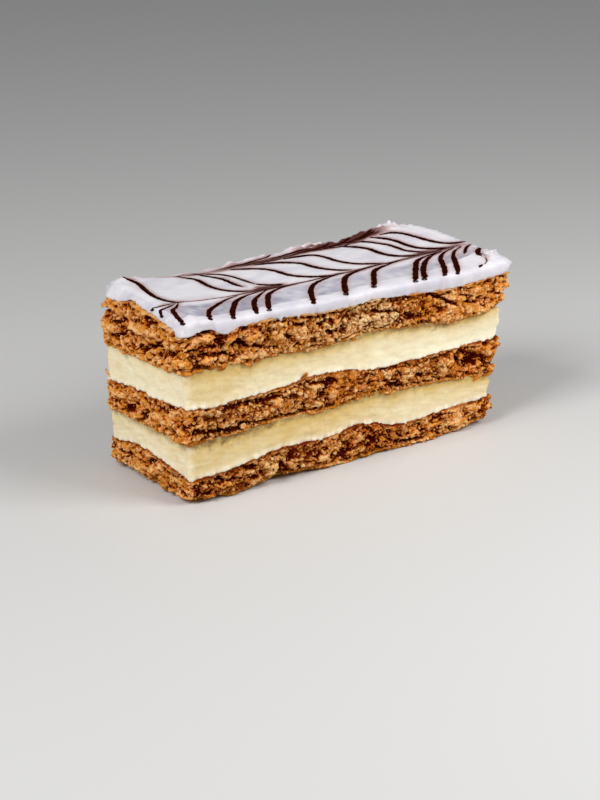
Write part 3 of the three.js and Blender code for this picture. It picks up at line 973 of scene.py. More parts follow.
def large_forms(points, seed):
    """Relief of the large gaps and lumps, and how deep in a gap each point is"""
    x, y, z = points[..., 0] - CORNER_X, points[..., 1] - CORNER_Y, points[..., 2]
    shift = 0.45 * rough(x, y, z, 1.3, 1.1, seed + 40)
    lift = 0.40 * rough(x, y, z, 1.3, 1.1, seed + 41)
    total = np.zeros(x.shape)
    pits = np.zeros(x.shape)
    faces = ((x, y, FRONT_GAPS, FRONT_LUMPS, 1.1), (y, x, NEAR_GAPS, NEAR_LUMPS, 1.3))
    for across, away, gaps, lumps, widen in faces:
        on_face = np.exp(-(np.clip(away, 0, None) / 3.0) ** 2)
        face = np.zeros(x.shape)
        pit = np.zeros(x.shape)
        for middle, height, length, rise, stand in lumps:
            apart = np.hypot((across - middle) / (1.15 * length), (z + lift - height) / (1.15 * rise))
            face = np.maximum(face, 1.25 * stand * (1 - ramp(apart, 0.35, 1.1)))
        for *run, half, depth in gaps:
            apart, way = from_run(across + shift, z + lift, run)
            cut = np.exp(-(apart / (widen * half)) ** 2) * (0.75 + 0.25 * np.sin(math.pi * way))
            face -= depth * cut
            pit = np.maximum(pit, cut * min(1, depth / 1.6))
        total += on_face * face
        pits = np.maximum(pits, on_face * pit)
    return total, pits


def baked_relief(points, levels, toast, layer, look):
    """How far the baked crumb stands out of a plain side, and each clump's own random share"""
    x, y, z = points[..., 0], points[..., 1], points[..., 2]
    seed = layer["seed"]
    clump, nodule = look.clump / MM, look.nodule / MM
    wx = x + 0.9 * rough(x, y, z, 2.7, 1.9, seed + 1)
    wy = y + 0.9 * rough(x, y, z, 2.7, 1.9, seed + 2)
    wz = z + 0.7 * rough(x, y, z, 2.7, 1.9, seed + 3)
    openness = layer["open"] * (0.8 + 0.5 * rough(x, y, z, 9, 4, seed + 8))

    # Baked sheets, each standing out by its own amount, with gaps between them
    sheet = levels[:, None] * layer["sheets"] + 0.60 * noise(x / 8, y / 8, 0.3, seed + 9)
    sheet = sheet + 0.40 * rough(x, y, z, 3.1, 4, seed + 10)
    sheet = sheet + 0.16 * noise(x / 1.2, y / 1.2, z, seed + 15)
    number = np.floor(sheet)
    stand = 0.8 * noise(x / 5.5, y / 5.5, number * 5.1, seed + 16)
    stand = stand + 0.5 * noise(x / 2.2, y / 2.2, number * 3.3, seed + 17)
    boundary = np.round(sheet)
    gap = np.exp(-((sheet - boundary) / 0.13) ** 2)
    gap *= np.clip(1.9 * noise(x / 4, y / 4, boundary * 3.7, seed + 11), 0, 1)
    flaky = 0.35 + 0.85 * toast
    out = flaky * openness * (0.8 * stand - look.gap_depth / MM * gap)

    # Clumps, and the beads that they are made of
    apart, own = cells(wx / clump, wy / clump, wz / (0.74 * clump), seed + 4)
    clumps = np.sqrt(np.clip(1 - (apart / 0.85) ** 2, 0, 1))
    out += look.clump_depth / MM * openness * (clumps - 0.6) + 0.7 * openness * (own - 0.5)
    vx = wx + 0.35 * rough(x, y, z, 0.9, 0.9, seed + 5)
    vz = wz + 0.35 * rough(x, y, z, 0.9, 0.9, seed + 6)
    apart, own_bead = cells(vx / nodule, wy / nodule, vz / (0.85 * nodule), seed + 7)
    beads = np.sqrt(np.clip(1 - (apart / 0.85) ** 2, 0, 1))
    beady = 1.25 - 0.6 * toast
    out += beady * (look.nodule_depth / MM * (beads - 0.6) + 0.36 * (own_bead - 0.5))

    hollow = ramp(rough(wx, wy, wz, 2.8, 1.8, seed + 12), 0.32, 0.62)
    out -= 1.4 * openness * hollow
    out += 0.35 * rough(x, y, z, 5, 2.6, seed + 13)
    out += 0.18 * rough(x, y, z, 0.6, 0.55, seed + 14)
    return out, own


def fray_edges(side, under_icing):
    """Frays a layer's foot and head, and gives how far its head then reaches past its solid's"""
    side.foot = side.foot + 0.30 * side.rough_edge(1.7, 34) + 0.20 * side.rough_edge(0.7, 35)
    side.head = side.head + 0.22 * side.rough_edge(1.7, 36) + 0.14 * side.rough_edge(0.7, 37)
    if not under_icing:
        return 0
    over = edge_step(side.x, side.y) + HEAD_OVERLAP
    side.head = side.head + over
    side.foot = side.foot + far_rise(side.x, side.y)
    return over


def crusted(side, relief, under_icing):
    """Relief with a thin crust along the top and bottom and a dark gap beside it, and the rims it has"""
    head_gap = np.exp(-((side.from_head - 1.35 - 0.3 * side.rough_edge(4, 30)) / 0.32) ** 2)
    foot_gap = np.exp(-((side.from_foot - 1.25 - 0.3 * side.rough_edge(4, 31)) / 0.34) ** 2)
    head_gap = head_gap * np.clip(0.2 + 1.2 * side.rough_edge(6, 32), 0, 1)
    foot_gap = foot_gap * np.clip(0.3 + 1.2 * side.rough_edge(6, 33), 0, 1)
    rim = 1 - ramp(np.minimum(side.from_head, side.from_foot), 0, RIM_HEIGHT)
    if under_icing:
        near_back = np.exp(-(side.x ** 2 + (DEPTH - side.y) ** 2) / TUCKED_CORNER)
        at_head = side.from_head < side.from_foot
        drawn_in = rim * np.maximum(~at_head, near_back)
        tucked = 1.2 * near_back * rim * at_head
    else:
        drawn_in = rim
        tucked = 0
    pushed_out = rim - drawn_in
    relief = relief * (1 - 0.40 * drawn_in) - 0.9 * head_gap - 1.0 * foot_gap - 0.3 * drawn_in ** 2
    relief += RIM_PUSH * pushed_out - tucked
    return relief, rim, pushed_out


def craggy(side, relief, under_icing):
    """How far each point stands out, how deep in a gap it is, and how near a rim it is"""
    plan, seed = side.plan, side.seed
    x, y, z = side.x, side.y, side.z
    relief, rim, pushed_out = crusted(side, relief, under_icing)
    large, pits = large_forms(plan.stand_out(side.base, z), seed)
    relief += large + 0.5 * plan.corners()
    ends = np.maximum(on_near_end(x), np.exp((x - LENGTH) / CORNER_RUN))
    relief += END_SWELL * ends * noise(y / 5, z / 3.2, x / 9, seed + 38)
    relief += END_CRAGS * ends * noise(y / 1.8, z / 1.3, x / 9, seed + 39)
    out = np.maximum(side.base + relief, side.base - DEEPEST)
    out = np.where(pushed_out > 0.3, np.maximum(out, side.base + RIM_PUSH * pushed_out - 0.2), out)
    farthest = RIM_STAND + 0.6 * ends + 0.8 * pushed_out
    return np.where(rim > 0.5, np.minimum(out, farthest), out), pits, rim


def build_pastry(layer, look, material):
    """A layer of pastry, with its craggy sides"""
    name = layer["node"] + "_crumb"
    fresh_piece(name)
    under_icing = layer["node"] == "pastry_top"
    side = Side(layer, look)
    over = fray_edges(side, under_icing)
    side.fill()
    toast = over_sides(side.x, layer["toast"], layer["end_toast"])
    toast = np.clip(toast + 0.35 * side.rough(4, 2.5, 23), 0, 1)
    bake = over_sides(side.x, layer["bake"], layer["end_bake"]) + 0.35 * side.rough(5, 3.5, 24)
    points = side.plan.stand_out(side.base, side.z)
    relief, own = baked_relief(points, side.levels, toast, layer, look)
    out, pits, rim = craggy(side, relief, under_icing)
    # lift: how far a point stands out of its surroundings, lowered in the large gaps; the finish turns it
    # into painted shade in gaps and hollows and painted light on tips
    lift = 0.52 + 0.30 * (out - blur(out, 1.3, 1.3)) + 0.36 * (out - blur(out, 3.5, 3.5))
    lift += 0.26 * (out - blur(out, 9.0, 9.0)) - 0.35 * pits
    side.z = side.z + 0.16 * side.rough(0.9, 0.9, 20) * (1 - rim)
    rings = kept_in(side.plan.stand_out(out, side.z))
    worn = np.clip(0.75 + 0.7 * side.rough(2.5, 1.5, 21), 0, 1)
    attributes = {
        "lift": np.clip(lift, 0, 1),
        "tone": np.clip(0.5 + 0.4 * (own - 0.5) + 0.35 * side.rough(6, 3, 22), 0, 1),
        "crust": np.exp(-(side.from_head / 0.9) ** 2) * worn * layer["crust"],
        "fringe": np.exp(-(side.from_foot / 0.7) ** 2) * worn,
        "toast": toast,
        "bake": bake,
    }
    piece = layer_mesh(name, side, rings, 0, np.maximum(over, 0), attributes)
    dress(piece, [layer["node"]], material)


class MILLEFEUILLE_OT_pastry(Operator):
    """Builds the three layers of baked puff pastry"""
    bl_idname = "millefeuille.pastry"
    bl_label = "Pastry layers"

    def execute(self, context):
        look = context.scene.mille_feuille.pastry
        material = pastry_finish(look)
        for layer in PASTRY_LAYERS:
            build_pastry(layer, look, material)
        return {"FINISHED"}


# Cream --------

# Layers of cream: the seed, and how yellow the cream is at its foot, at places along the front, how yellow
# and how soaked with butter close under the pastry, and the same at the near end. The yellow is partly the
# cream's own and partly painted shade, darker towards the near corner and the pastry above, and the brown
# under the pastry is partly butter and partly painted shadow
CREAM_LAYERS = (
    {
        "node": "cream_lower", "seed": 400, "end_rich": 0.26, "top_yellow_and_shade": ((0, 1.25),), "end_top_yellow_and_shade": 0.7,
        "end_soaked_and_shadow": 0.55, "soaked": ((0, 0.6), (4, 1.0), (26, 0.9), (36, 0.5), (112, 0.35)),
        "rich": (
            (0, 0.84), (8, 0.62), (16, 0.62), (24, 0.56), (34, 0.82), (42, 0.62), (52, 0.68), (62, 0.72),
            (75, 0.34), (84, 0.26), (92, 0.38), (105, 0.42),
        ),
    },
    {
        "node": "cream_upper", "seed": 500, "end_rich": 0.16, "top_yellow_and_shade": ((0, 1.2),), "end_top_yellow_and_shade": 0.45,
        "end_soaked_and_shadow": 0.05, "soaked": ((0, 0.5), (30, 0.35), (60, 0.7), (90, 0.7), (112, 0.45)),
        "rich": (
            (0, 0.62), (8, 0.62), (16, 0.58), (24, 0.28), (32, 0.28), (42, 0.38), (60, 0.2), (68, 0.03),
            (112, 0.0),
        ),
    },
)

# The cream reaches this far under and over the pastry's edges, so that no gap shows between them
CREAM_OVERLAP = 0.6


def build_cream(layer, look, material):
    """A layer of cream, with its knife marks and its ragged lower edge"""
    name = layer["node"] + "_cut"
    fresh_piece(name)
    side = Side(layer, look)
    plan, seed, x, y = side.plan, side.seed, side.x, side.y
    side.foot = side.foot - CREAM_OVERLAP
    side.head = side.head + CREAM_OVERLAP
    if layer["node"] == "cream_upper":
        side.head = side.head + far_rise(x, y)
    side.fill(CREAM_OVERLAP)

    # Marks that the knife dragged along the slanted cut, and small holes
    slanted = side.z + 0.22 * (x + y)
    marks = look.drag / MM * rough(x, y, slanted, 8, 0.9, seed + 1)
    marks += 0.22 * side.rough(4.5, 2.4, 2) + 0.08 * side.rough(1.6, 1.1, 3)
    holes = ramp(side.rough(1.3, 1.0, 8), 0.55, 0.75)
    marks -= 0.16 * holes

    # The ragged lower edge, the crumpled front corner and the torn far end
    above_edge = side.z - side.foot - CREAM_OVERLAP
    ragged = np.clip(0.55 + 0.9 * noise(x / 1.6, y / 1.6, 0.2, seed + 4), 0, 1.3)
    lip = np.exp(-(above_edge / 0.75) ** 2)
    froth_lip = look.lip / MM * lip * ragged * (0.7 + 0.6 * side.rough(0.6, 0.6, 5))
    corner = np.exp(-((x - 0.3) ** 2 + (y - 0.3) ** 2) / 1.5)
    crumpled = 0.5 + 0.9 * side.rough(2, 2.6, 6) + 0.15 * side.rough(0.9, 0.8, 9)
    sharpened = look.corner / MM * plan.corners()
    torn = 0.9 * noise(y / 2.2, side.z / 1.6, 0.5, seed + 10)
    torn = torn + 0.4 * noise(y / 0.9, side.z / 0.8, 0.5, seed + 11)
    torn = np.exp((x - LENGTH) / 1.2) * torn
    out = side.base + marks + froth_lip + 0.3 * corner * crumpled + sharpened + torn
    side.z = side.z - 0.4 * lip * ragged
    rings = plan.stand_out(out, side.z)

    # froth: the ragged lower edge and the crumpled corner painted paler, a painted highlight where they catch
    # the light
    froth = np.clip(np.exp(-(np.clip(above_edge, 0, None) / 1.0) ** 2) * (0.2 + 0.8 * ragged), 0, 1)
    froth = np.maximum(froth, 0.6 * corner * np.clip(crumpled, 0, 1))
    # The cream's yellow and painted shade: darker towards the near corner, up under the pastry and in small
    # holes
    at_foot = over_sides(x, layer["rich"], layer["end_rich"])
    at_head = over_sides(x, layer["top_yellow_and_shade"], layer["end_top_yellow_and_shade"])
    up = np.clip(above_edge / (side.height - 2 * CREAM_OVERLAP), 0, 1)
    under = np.clip(side.head - CREAM_OVERLAP - side.z, 0, None)
    soak_and_shadow_spread = 0.9 + 0.5 * side.rough(3, 2, 12) + 0.4 * side.rough(1.1, 0.8, 13)
    # soaked: brown close under the pastry, partly butter soaked into the cream and partly painted shadow of
    # the pastry above
    soaked = over_sides(x, layer["soaked"], layer["end_soaked_and_shadow"])
    attributes = {
        "froth": np.clip(froth, 0, 1),
        "rich": at_foot + (at_head - at_foot) * up ** 3 + 0.15 * holes,
        "soaked": np.clip(soaked * np.exp(-(under / soak_and_shadow_spread / (0.6 + 1.1 * soaked)) ** 2) * soak_and_shadow_spread, 0, 1),
    }
    piece = layer_mesh(name, side, rings, CREAM_OVERLAP, CREAM_OVERLAP, attributes)
    dress(piece, [layer["node"]], material)


class MILLEFEUILLE_OT_cream(Operator):
    """Builds the two layers of custard cream"""
    bl_idname = "millefeuille.cream"
    bl_label = "Cream layers"

    def execute(self, context):
        look = context.scene.mille_feuille.cream
        material = cream_finish(look)
        for layer in CREAM_LAYERS:
            build_cream(layer, look, material)
        return {"FINISHED"}


# Icing --------

ICING_SEED = 600

# The icing's skin is read by a fan of rays from points inside it: this far in from the side, this
# far below the lid, with this many rays of this length from its lower edge up to the lid, for a skin
# of this many rows. Its lower edge is read this far in from the plan
FAN_INSET = 4.0
FAN_DROP = 2.6
FAN_READINGS = 17
FAN_REACH = 12.0
FAN_ROWS = 30
FOOT_READING_INSET = 0.5
UPWARD = np.array([0, 0, 1])

# Rounds of smoothing that the flat of the lid gets, and how far the hidden underside is raised
LID_ROUNDS = 3
UNDERSIDE_LIFT = 0.05

# Lines along which a knife drew the chocolate out: places along the slice, and the depth, width
# and strength of the stain there
FRONT_DRAW = {
    "x": (3, 9, 20, 30, 35, 39, 44, 48, 56, 64, 72, 80, 88, 95, 100, 108, 117),
    "y": (15.6, 16.8, 16.3, 16.4, 17, 17.8, 16.8, 16, 15.7, 15.9, 16.7, 17.6, 17.9, 18.2, 18.6, 18.3, 18),
    "width": (0.8, 0.8, 0.5, 0.9, 1.6, 2.4, 1.6, 0.8, 0.7, 0.9, 1.1, 1, 0.9, 1.4, 2.1, 2, 1.3),
    "strength": (0.2, 0.5, 0.35, 0.55, 1, 1.3, 1.2, 0.7, 0.6, 0.9, 0.8, 0.8, 0.7, 0.9, 1.1, 0.9, 0.4),
}
BACK_DRAW = {
    "x": (0, 12, 24, 31, 36, 42, 48, 56, 64, 72, 82, 90, 98, 105, 112),
    "y": (44, 44.6, 43, 42.8, 42.2, 41.8, 40.6, 39.6, 39.8, 41.8, 42.6, 43, 43, 43.4, 43),
    "width": (1, 0.8, 1, 1.5, 1.6, 2, 2.2, 2, 1.7, 1.7, 2.4, 2.8, 2.4, 1.7, 1.2),
    "strength": (0.1, 0.2, 0.6, 0.8, 0.5, 0.85, 1, 1.05, 1, 1.05, 1.25, 1.3, 1.1, 0.25, 0.1),
}

# Where the icing between the front draw and the front edge is thin and looks grey: places along the
# slice and how thin it is there, and how far back from the edge the thin icing begins
THIN_BAND = (
    (0, 0.3), (3, 0.6), (7, 0.75), (12, 0.8), (22, 0.95), (27, 1.1), (33, 1.1), (36, 0.7), (42, 0.4),
    (46, 0.6), (56, 0.6), (64, 0.5), (72, 0.35), (80, 0.4), (87, 0.5), (97, 0.6), (105, 0.75), (112, 0.75),
    (118, 0.2),
)
THIN_FROM = (
    (0, 3), (7, 1.9), (12, 1.7), (30, 1.7), (60, 1.8), (75, 3.4), (90, 3.8), (97, 5), (103, 7.2), (118, 9.5),
)
THIN_TO = 14.5

# How much painted shade darkens the icing's side, and how much on the near end, at places across it
SIDE_SHADE = 0.17
END_SHADE = (
    (0, 0.12), (8, 0.3), (18, 0.36), (28, 0.2), (34, 0.05), (45.5, 0),
)

# Places where the lid is pressed in or bulges out: where each is, how far round it reaches, and how
# far the icing is moved there
LID_DENTS = (
    {"x": 0, "y": 45.5, "reach": 3.4, "move": (0.4, -1.2, -0.8)},
    {"x": 114.5, "y": 45.5, "reach": 6.5, "move": (-3.2, -0.3, -0.3)},
    {"x": 118.6, "y": 7.5, "reach": 2.4, "move": (1.2, 0, 0)},
    {"x": 118, "y": 4, "reach": 7, "move": (0.3, 0, 1.3)},
)

# Steps in the icing's lower edge, on the front near the corner and across the near end: places along
# each and how far the edge is raised there
EDGE_STEPS = (
    (-3, 0), (1.4, 0), (2.6, 0.5), (8.6, 0.7), (9.6, 0.4), (10.4, -0.35), (16.4, -0.35), (17.6, 0.1),
    (20, 0),
)
END_STEPS = (
    (0, 0), (9, 0.1), (14.5, 0.5), (19.5, 0), (24.6, 1), (28.5, 0.6), (30.5, -0.2), (34.8, -1.1), (39, -0.9),
    (42, -0.5), (44, -1.3), (45.5, -2.7),
)


def edge_step(x, y):
    """How far the icing's lower edge is raised at places of the plan"""
    return along(EDGE_STEPS, x) * (1 - ramp(y, 0.3, 1.5)) + along(END_STEPS, y) * (1 - ramp(x, 0.3, 1.5))


# The chocolate's stain stops at these distances back, so that the crests along the back edge stay white
WHITE_CRESTS = (
    (0, 44.5), (63, 44.5), (66.5, 43), (79, 43.2), (80.4, 60), (84, 60), (85.2, 44.4), (88.6, 44.6),
    (89.8, 60), (92.4, 60), (93.6, 44.8), (96.2, 44.8), (97.4, 60), (100, 60), (101.2, 43.2), (119, 43.2),
)

# Scraps of icing that hang from its lower edge: place along it, half width and length
ICING_SCRAPS = (
    (30.4, 0.4, 0.9), (33.1, 0.35, 1.2), (39.5, 0.5, 1), (21, 0.6, 0.4), (52, 0.7, 0.4), (97, 0.6, 0.5),
)

# Lobes of the icing's far end in front, and of its near end at the back: the height of each and how
# far it stands out, where each reaches this far up and down
LOBE_REACH = 0.65
FAR_LOBES = ((55.4, 2), (53.8, 1.6), (51.8, -1.6), (50.4, 0.7))
NEAR_LOBES = ((57.6, 1.2), (55.6, 0.8), (54.1, -2.6), (52.2, 1.4))

# Raised bumps along the icing's back edge: place along it, half length and height, and where that
# edge is and how wide a bump is across it
BACK_EDGE = 44.6
BUMP_WIDTH = 2.2
BACK_BUMPS = (
    (8.5, 4.5, 0.8), (15.5, 2.4, 0.3), (29, 4, 0.6), (37.5, 3, 0.5), (44.6, 1.7, 1), (52.5, 2.4, 0.5),
    (57, 1.5, 0.5), (68.4, 2.6, 1.6), (72.8, 2.4, 1.5), (76.7, 2.6, 1.9), (81.6, 2.8, 1.7), (88.5, 2.6, 0.8),
    (92.8, 2.6, 0.9), (97, 3, 1.3), (100.9, 2.4, 1.3), (106.2, 3.6, 1.8),
)

# The tinge beside a chocolate line: the step along the line at which it is read, how far it may
# reach, and how fast it fades
HALO_STEP = 0.5
HALO_REACH = 4
HALO_FADE = 0.7


def stain(x, y):
    """How strongly the icing is stained at places of the slice's corner frame"""
    total = np.zeros(np.broadcast(x, y).shape)
    for draw in (FRONT_DRAW, BACK_DRAW):
        middle, width, strength = [np.interp(x, draw["x"], draw[key]) for key in ("y", "width", "strength")]
        wander = 0.5 * noise(x / 5, y / 3, 0.5, ICING_SEED + 9)
        total = np.maximum(total, strength * np.exp(-((y - middle + wander) / width) ** 2))
    crest = along(WHITE_CRESTS, x)
    return total * (1 - ramp(y, crest, crest + 0.9))


def halo(x, y):
    """How strongly the icing is tinged beside the chocolate lines"""
    spots = []
    for group in CHOCOLATE_LINES:
        for width, places in group["lines"]:
            spots += [(*middle, width / 2) for middle in smooth_run(places, HALO_STEP)[0]]
    tree = KDTree(len(spots))
    for index, (here, across, _) in enumerate(spots):
        tree.insert((here, across, 0), index)
    tree.balance()
    total = np.zeros(len(x))
    for index, spot in enumerate(zip(x, y)):
        nearest, distance = tree.find((*spot, 0))[1:]
        if distance < HALO_REACH:
            total[index] = math.exp(-max(0, distance - spots[nearest][2]) / HALO_FADE)
    return total


def groove_places():
    """Places along the front where the knife came down over the icing's edge"""
    tips = [places[-1] for group in CHOCOLATE_LINES if group["hairs"] for _, places in group["lines"]]
    return [x - y * SLANT.x / SLANT.y for x, y in tips if y < 0]


def fan_way(angle, outward):
    """Directions at angles up from the way outward of each column"""
    return np.cos(angle)[..., None] * outward + np.sin(angle)[..., None] * UPWARD


def read_skin(solid, plan):
    """Rings of points up the icing's skin, and the way outward at each column"""
    cx, cy = plan.inset(FAN_INSET)
    lid = solid.level(cx, cy, True)
    centres = place(cx, cy, lid - FAN_DROP)
    x = plan.x - plan.out_x * FOOT_READING_INSET
    y = plan.y - plan.out_y * FOOT_READING_INSET
    foot = blur_round(solid.level(x, y, False), 1)
    outward = plan.stand_out(1.0, lid - FAN_DROP) - centres
    outward[:, 2] = 0
    outward /= np.linalg.norm(outward, axis=1)[:, None]
    level = foot + 0.15
    starts = plan.stand_out(STAND_OFF, level)
    ends = plan.stand_out(-STAND_IN, level)
    share = filled(solid.met(starts, ends))[:, None]
    edge = starts + share * (ends - starts)
    away = np.linalg.norm((edge - centres)[:, :2], axis=1)
    lowest = np.arctan2(foot - centres[:, 2], away)
    reach = []
    for step in np.linspace(0, 1, FAN_READINGS):
        way = fan_way(lowest + (math.pi / 2 - lowest) * step, outward)
        reach.append(filled(solid.met(centres, centres + FAN_REACH * way)) * FAN_REACH)
    steps = np.linspace(0, 1, FAN_ROWS)
    reach = between_rows(blur(np.array(reach), 0.5, 1.5), steps * (FAN_READINGS - 1))
    angle = lowest + (math.pi / 2 - lowest) * steps[:, None]
    return centres + reach[..., None] * fan_way(angle, outward), outward


def fray_skin(rings, outward, plan, look):
    """Gives the skin its ragged lower edge with scraps, its grooves and lobes, and its torn far end"""
    x, y, z = rings[..., 0] - CORNER_X, rings[..., 1] - CORNER_Y, rings[..., 2]
    steps = np.linspace(0, 1, FAN_ROWS)[:, None]
    low = np.exp(-(steps / 0.10) ** 2)
    side = 1 - ramp(steps, 0.35, 0.75)
    torn = 1 + 2.4 * ramp(plan.x, LENGTH - 1.5, LENGTH) + 0.35 * ramp(-plan.x, -1.0, 0)
    rag = look.ragged / MM * torn
    rings[..., 2] += low * rag * (
        0.9 * rough_edge(x, y, 1.7, ICING_SEED + 1) + 0.8 * rough_edge(x, y, 0.8, ICING_SEED + 2)
    )
    rings[..., 2] += edge_step(plan.x, plan.y) * (1 - ramp(steps, 0.1, 0.5))
    for middle, half, length in ICING_SCRAPS:
        rings[..., 2] -= low * length * np.exp(-((x - middle) / half) ** 2) * (1 - ramp(y, 1, 2))
    bulge = 0.16 * rough(x, y, z, 3, 3, ICING_SEED + 3) * side
    for middle in groove_places():
        bulge = bulge - 0.22 * np.exp(-((x - middle) / 0.7) ** 2) * (1 - ramp(y, 2, 4)) * side
    far_front = ramp(plan.x, LENGTH - 1.5, LENGTH) * (1 - ramp(plan.y, 8, 16))
    near_back = np.exp(-(plan.x ** 2 + (DEPTH - plan.y) ** 2) / 7)
    for corner, lobes in ((far_front, FAR_LOBES), (near_back, NEAR_LOBES)):
        for level, stand in lobes:
            bulge = bulge + stand * corner * np.exp(-((z - level) / LOBE_REACH) ** 2)
    bulge = bulge + 0.15 * torn * rough(x, y, z, 1.1, 1.1, ICING_SEED + 4) * side * (0.3 + low)
    bulge = bulge + 0.60 * (torn - 1) * rough(x, y, z, 1.6, 1.2, ICING_SEED + 5) * side
    bulge = bulge + 0.16 * (torn - 1) * rough(x, y, z, 0.8, 0.8, ICING_SEED + 6) * side
    rings[..., :2] += bulge[..., None] * outward[:, :2]


def lid_grid(solid, plan, rim):
    """Points of the lid's flat, in rows from the front, and which of them are its rim"""
    long, short = plan.long, plan.short
    grid_x, grid_y = np.meshgrid(np.arange(long + 1) / long, np.arange(short + 1) / short)
    x = FAN_INSET + grid_x * (LENGTH - 2 * FAN_INSET)
    y = FAN_INSET + grid_y * (DEPTH - 2 * FAN_INSET)
    z = solid.level(x.ravel(), y.ravel(), True).reshape(x.shape)
    for _ in range(LID_ROUNDS):
        z[1:-1, 1:-1] = (z[:-2, 1:-1] + z[2:, 1:-1] + z[1:-1, :-2] + z[1:-1, 2:]) / 4
    border = np.concatenate([
        np.arange(long), (long + 1) * np.arange(short) + long,
        (long + 1) * short + long - np.arange(long), (long + 1) * (short - np.arange(short)),
    ])
    points = place(x, y, z).reshape(-1, 3)
    points[border] = rim
    return points, border


def icing_faces(plan, border, lid_size):
    """Faces up the skin, over the lid's flat and, hidden, under the icing"""
    columns = plan.count
    top = (FAN_ROWS - 1) * columns
    last = top - columns
    faces = [band_faces(first, first + columns, columns) for first in range(0, last, columns)]
    here = np.arange(columns)
    after = (here + 1) % columns
    faces.append(np.stack([last + here, last + after, top + border[after], top + border[here]], axis=1))
    row = plan.long + 1
    i, j = np.meshgrid(np.arange(plan.long), np.arange(plan.short))
    corner = (top + j * row + i).ravel()
    faces.append(np.stack([corner, corner + 1, corner + row + 1, corner + row], axis=1))
    last, start = 0, top + lid_size
    for _ in CAP_INSETS:
        faces.append(band_faces(last, start, columns, flip=True))
        last, start = start, start + columns
    return np.concatenate(faces).tolist() + ladder_faces(last, plan, False)


def icing_stains(x, y, on_lid):
    """How stained with chocolate and how thin the icing is at its points, with painted shade on its side and
    near end held in the same value as the thin icing
    """
    smear = np.maximum(stain(x, y), halo(x, y) * (0.03 + 0.33 * on_lid))
    begins = along(THIN_FROM, x) + 0.5 * noise(x / 2.2, y / 4, 0.5, ICING_SEED + 12)
    thin = along(THIN_BAND, x) * ramp(y, begins, begins + 0.9) * (1 - ramp(y, THIN_TO - 3, THIN_TO)) * on_lid
    thin = 1.35 * thin * (0.85 + 0.5 * rough_edge(x, y, 3, ICING_SEED + 10))
    # Painted shade: the side and the near end are darkened with the thin fondant's colour
    side_shade = SIDE_SHADE + (along(END_SHADE, y) - SIDE_SHADE) * (1 - ramp(x, 0, 2))
    thin = np.maximum(thin, side_shade * (1 - on_lid) * (1 + 0.5 * rough_edge(x, y, 2, ICING_SEED + 13)))
    return {"smear": smear, "thin": np.clip(thin, 0, 1)}


def press(points, x, y, lowest):
    """Raises the bumps along the back edge and moves the icing at its dents"""
    above = ramp(points[:, 2], lowest + 2.5, lowest + 5.5)
    for middle, length, height in BACK_BUMPS:
        bump = np.exp(-np.abs((x - middle) / length) ** 3) * np.exp(-((y - BACK_EDGE) / BUMP_WIDTH) ** 2)
        bump = bump * (0.85 + 0.5 * rough_edge(x, y, 1.5, ICING_SEED + 7))
        points[:, 2] += above * height * bump
    points[:, 2] += above * 0.07 * rough_edge(x, y, 4, ICING_SEED + 8)
    for dent in LID_DENTS:
        apart = np.hypot(x - dent["x"], y - dent["y"]) / dent["reach"]
        uneven = 1 + 0.35 * rough(x, y, points[:, 2], 1.4, 1.4, ICING_SEED + 11)
        points += (np.exp(-apart ** 2) * (0.15 + 0.85 * above) * uneven)[:, None] * np.array(dent["move"])


def build_icing(look, material):
    """The icing: a lid with rounded shoulders, a ragged lower edge and a torn far end"""
    name = "fondant_lid"
    fresh_piece(name)
    plan = Plan(look.grain / MM)
    solid = Solid(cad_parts["icing"].data)
    rings, outward = read_skin(solid, plan)
    fray_skin(rings, outward, plan, look)
    lid, border = lid_grid(solid, plan, rings[-1])
    faces = icing_faces(plan, border, len(lid))
    skin = rings[:-1].reshape(-1, 3)
    under = [solid.inner_ring(plan, inset, False, UNDERSIDE_LIFT) for inset in CAP_INSETS]
    points = np.concatenate([skin, lid, *under])
    x, y = points[:, 0] - CORNER_X, points[:, 1] - CORNER_Y
    up_skin = np.repeat(np.linspace(0, 1, FAN_ROWS)[:-1], plan.count)
    up_skin = np.concatenate([up_skin, np.ones(len(lid)), np.zeros(plan.count * len(CAP_INSETS))])
    values = icing_stains(x, y, ramp(up_skin, 0.38, 0.5))
    press(points, x, y, solid.low)
    piece = make_piece(name, points, faces, values)
    dress(piece, ["icing"], material)


class MILLEFEUILLE_OT_icing(Operator):
    """Builds the lid of fondant icing"""
    bl_idname = "millefeuille.icing"
    bl_label = "Icing"

    def execute(self, context):
        look = context.scene.mille_feuille.icing
        build_icing(look, icing_finish(look))
        return {"FINISHED"}


# Chocolate --------

CHOCOLATE_SEED = 700

# The lines are drawn on the plane of the lid and laid along this slant on to the icing, so that a
# line which runs past the edge comes to lie on the shoulder
SLANT = Vector((0.5176, 0.7884, -0.3324))

# A line's points start this far up the slant, and look for the icing within this length
DROP_START = 9
DROP_REACH = 16

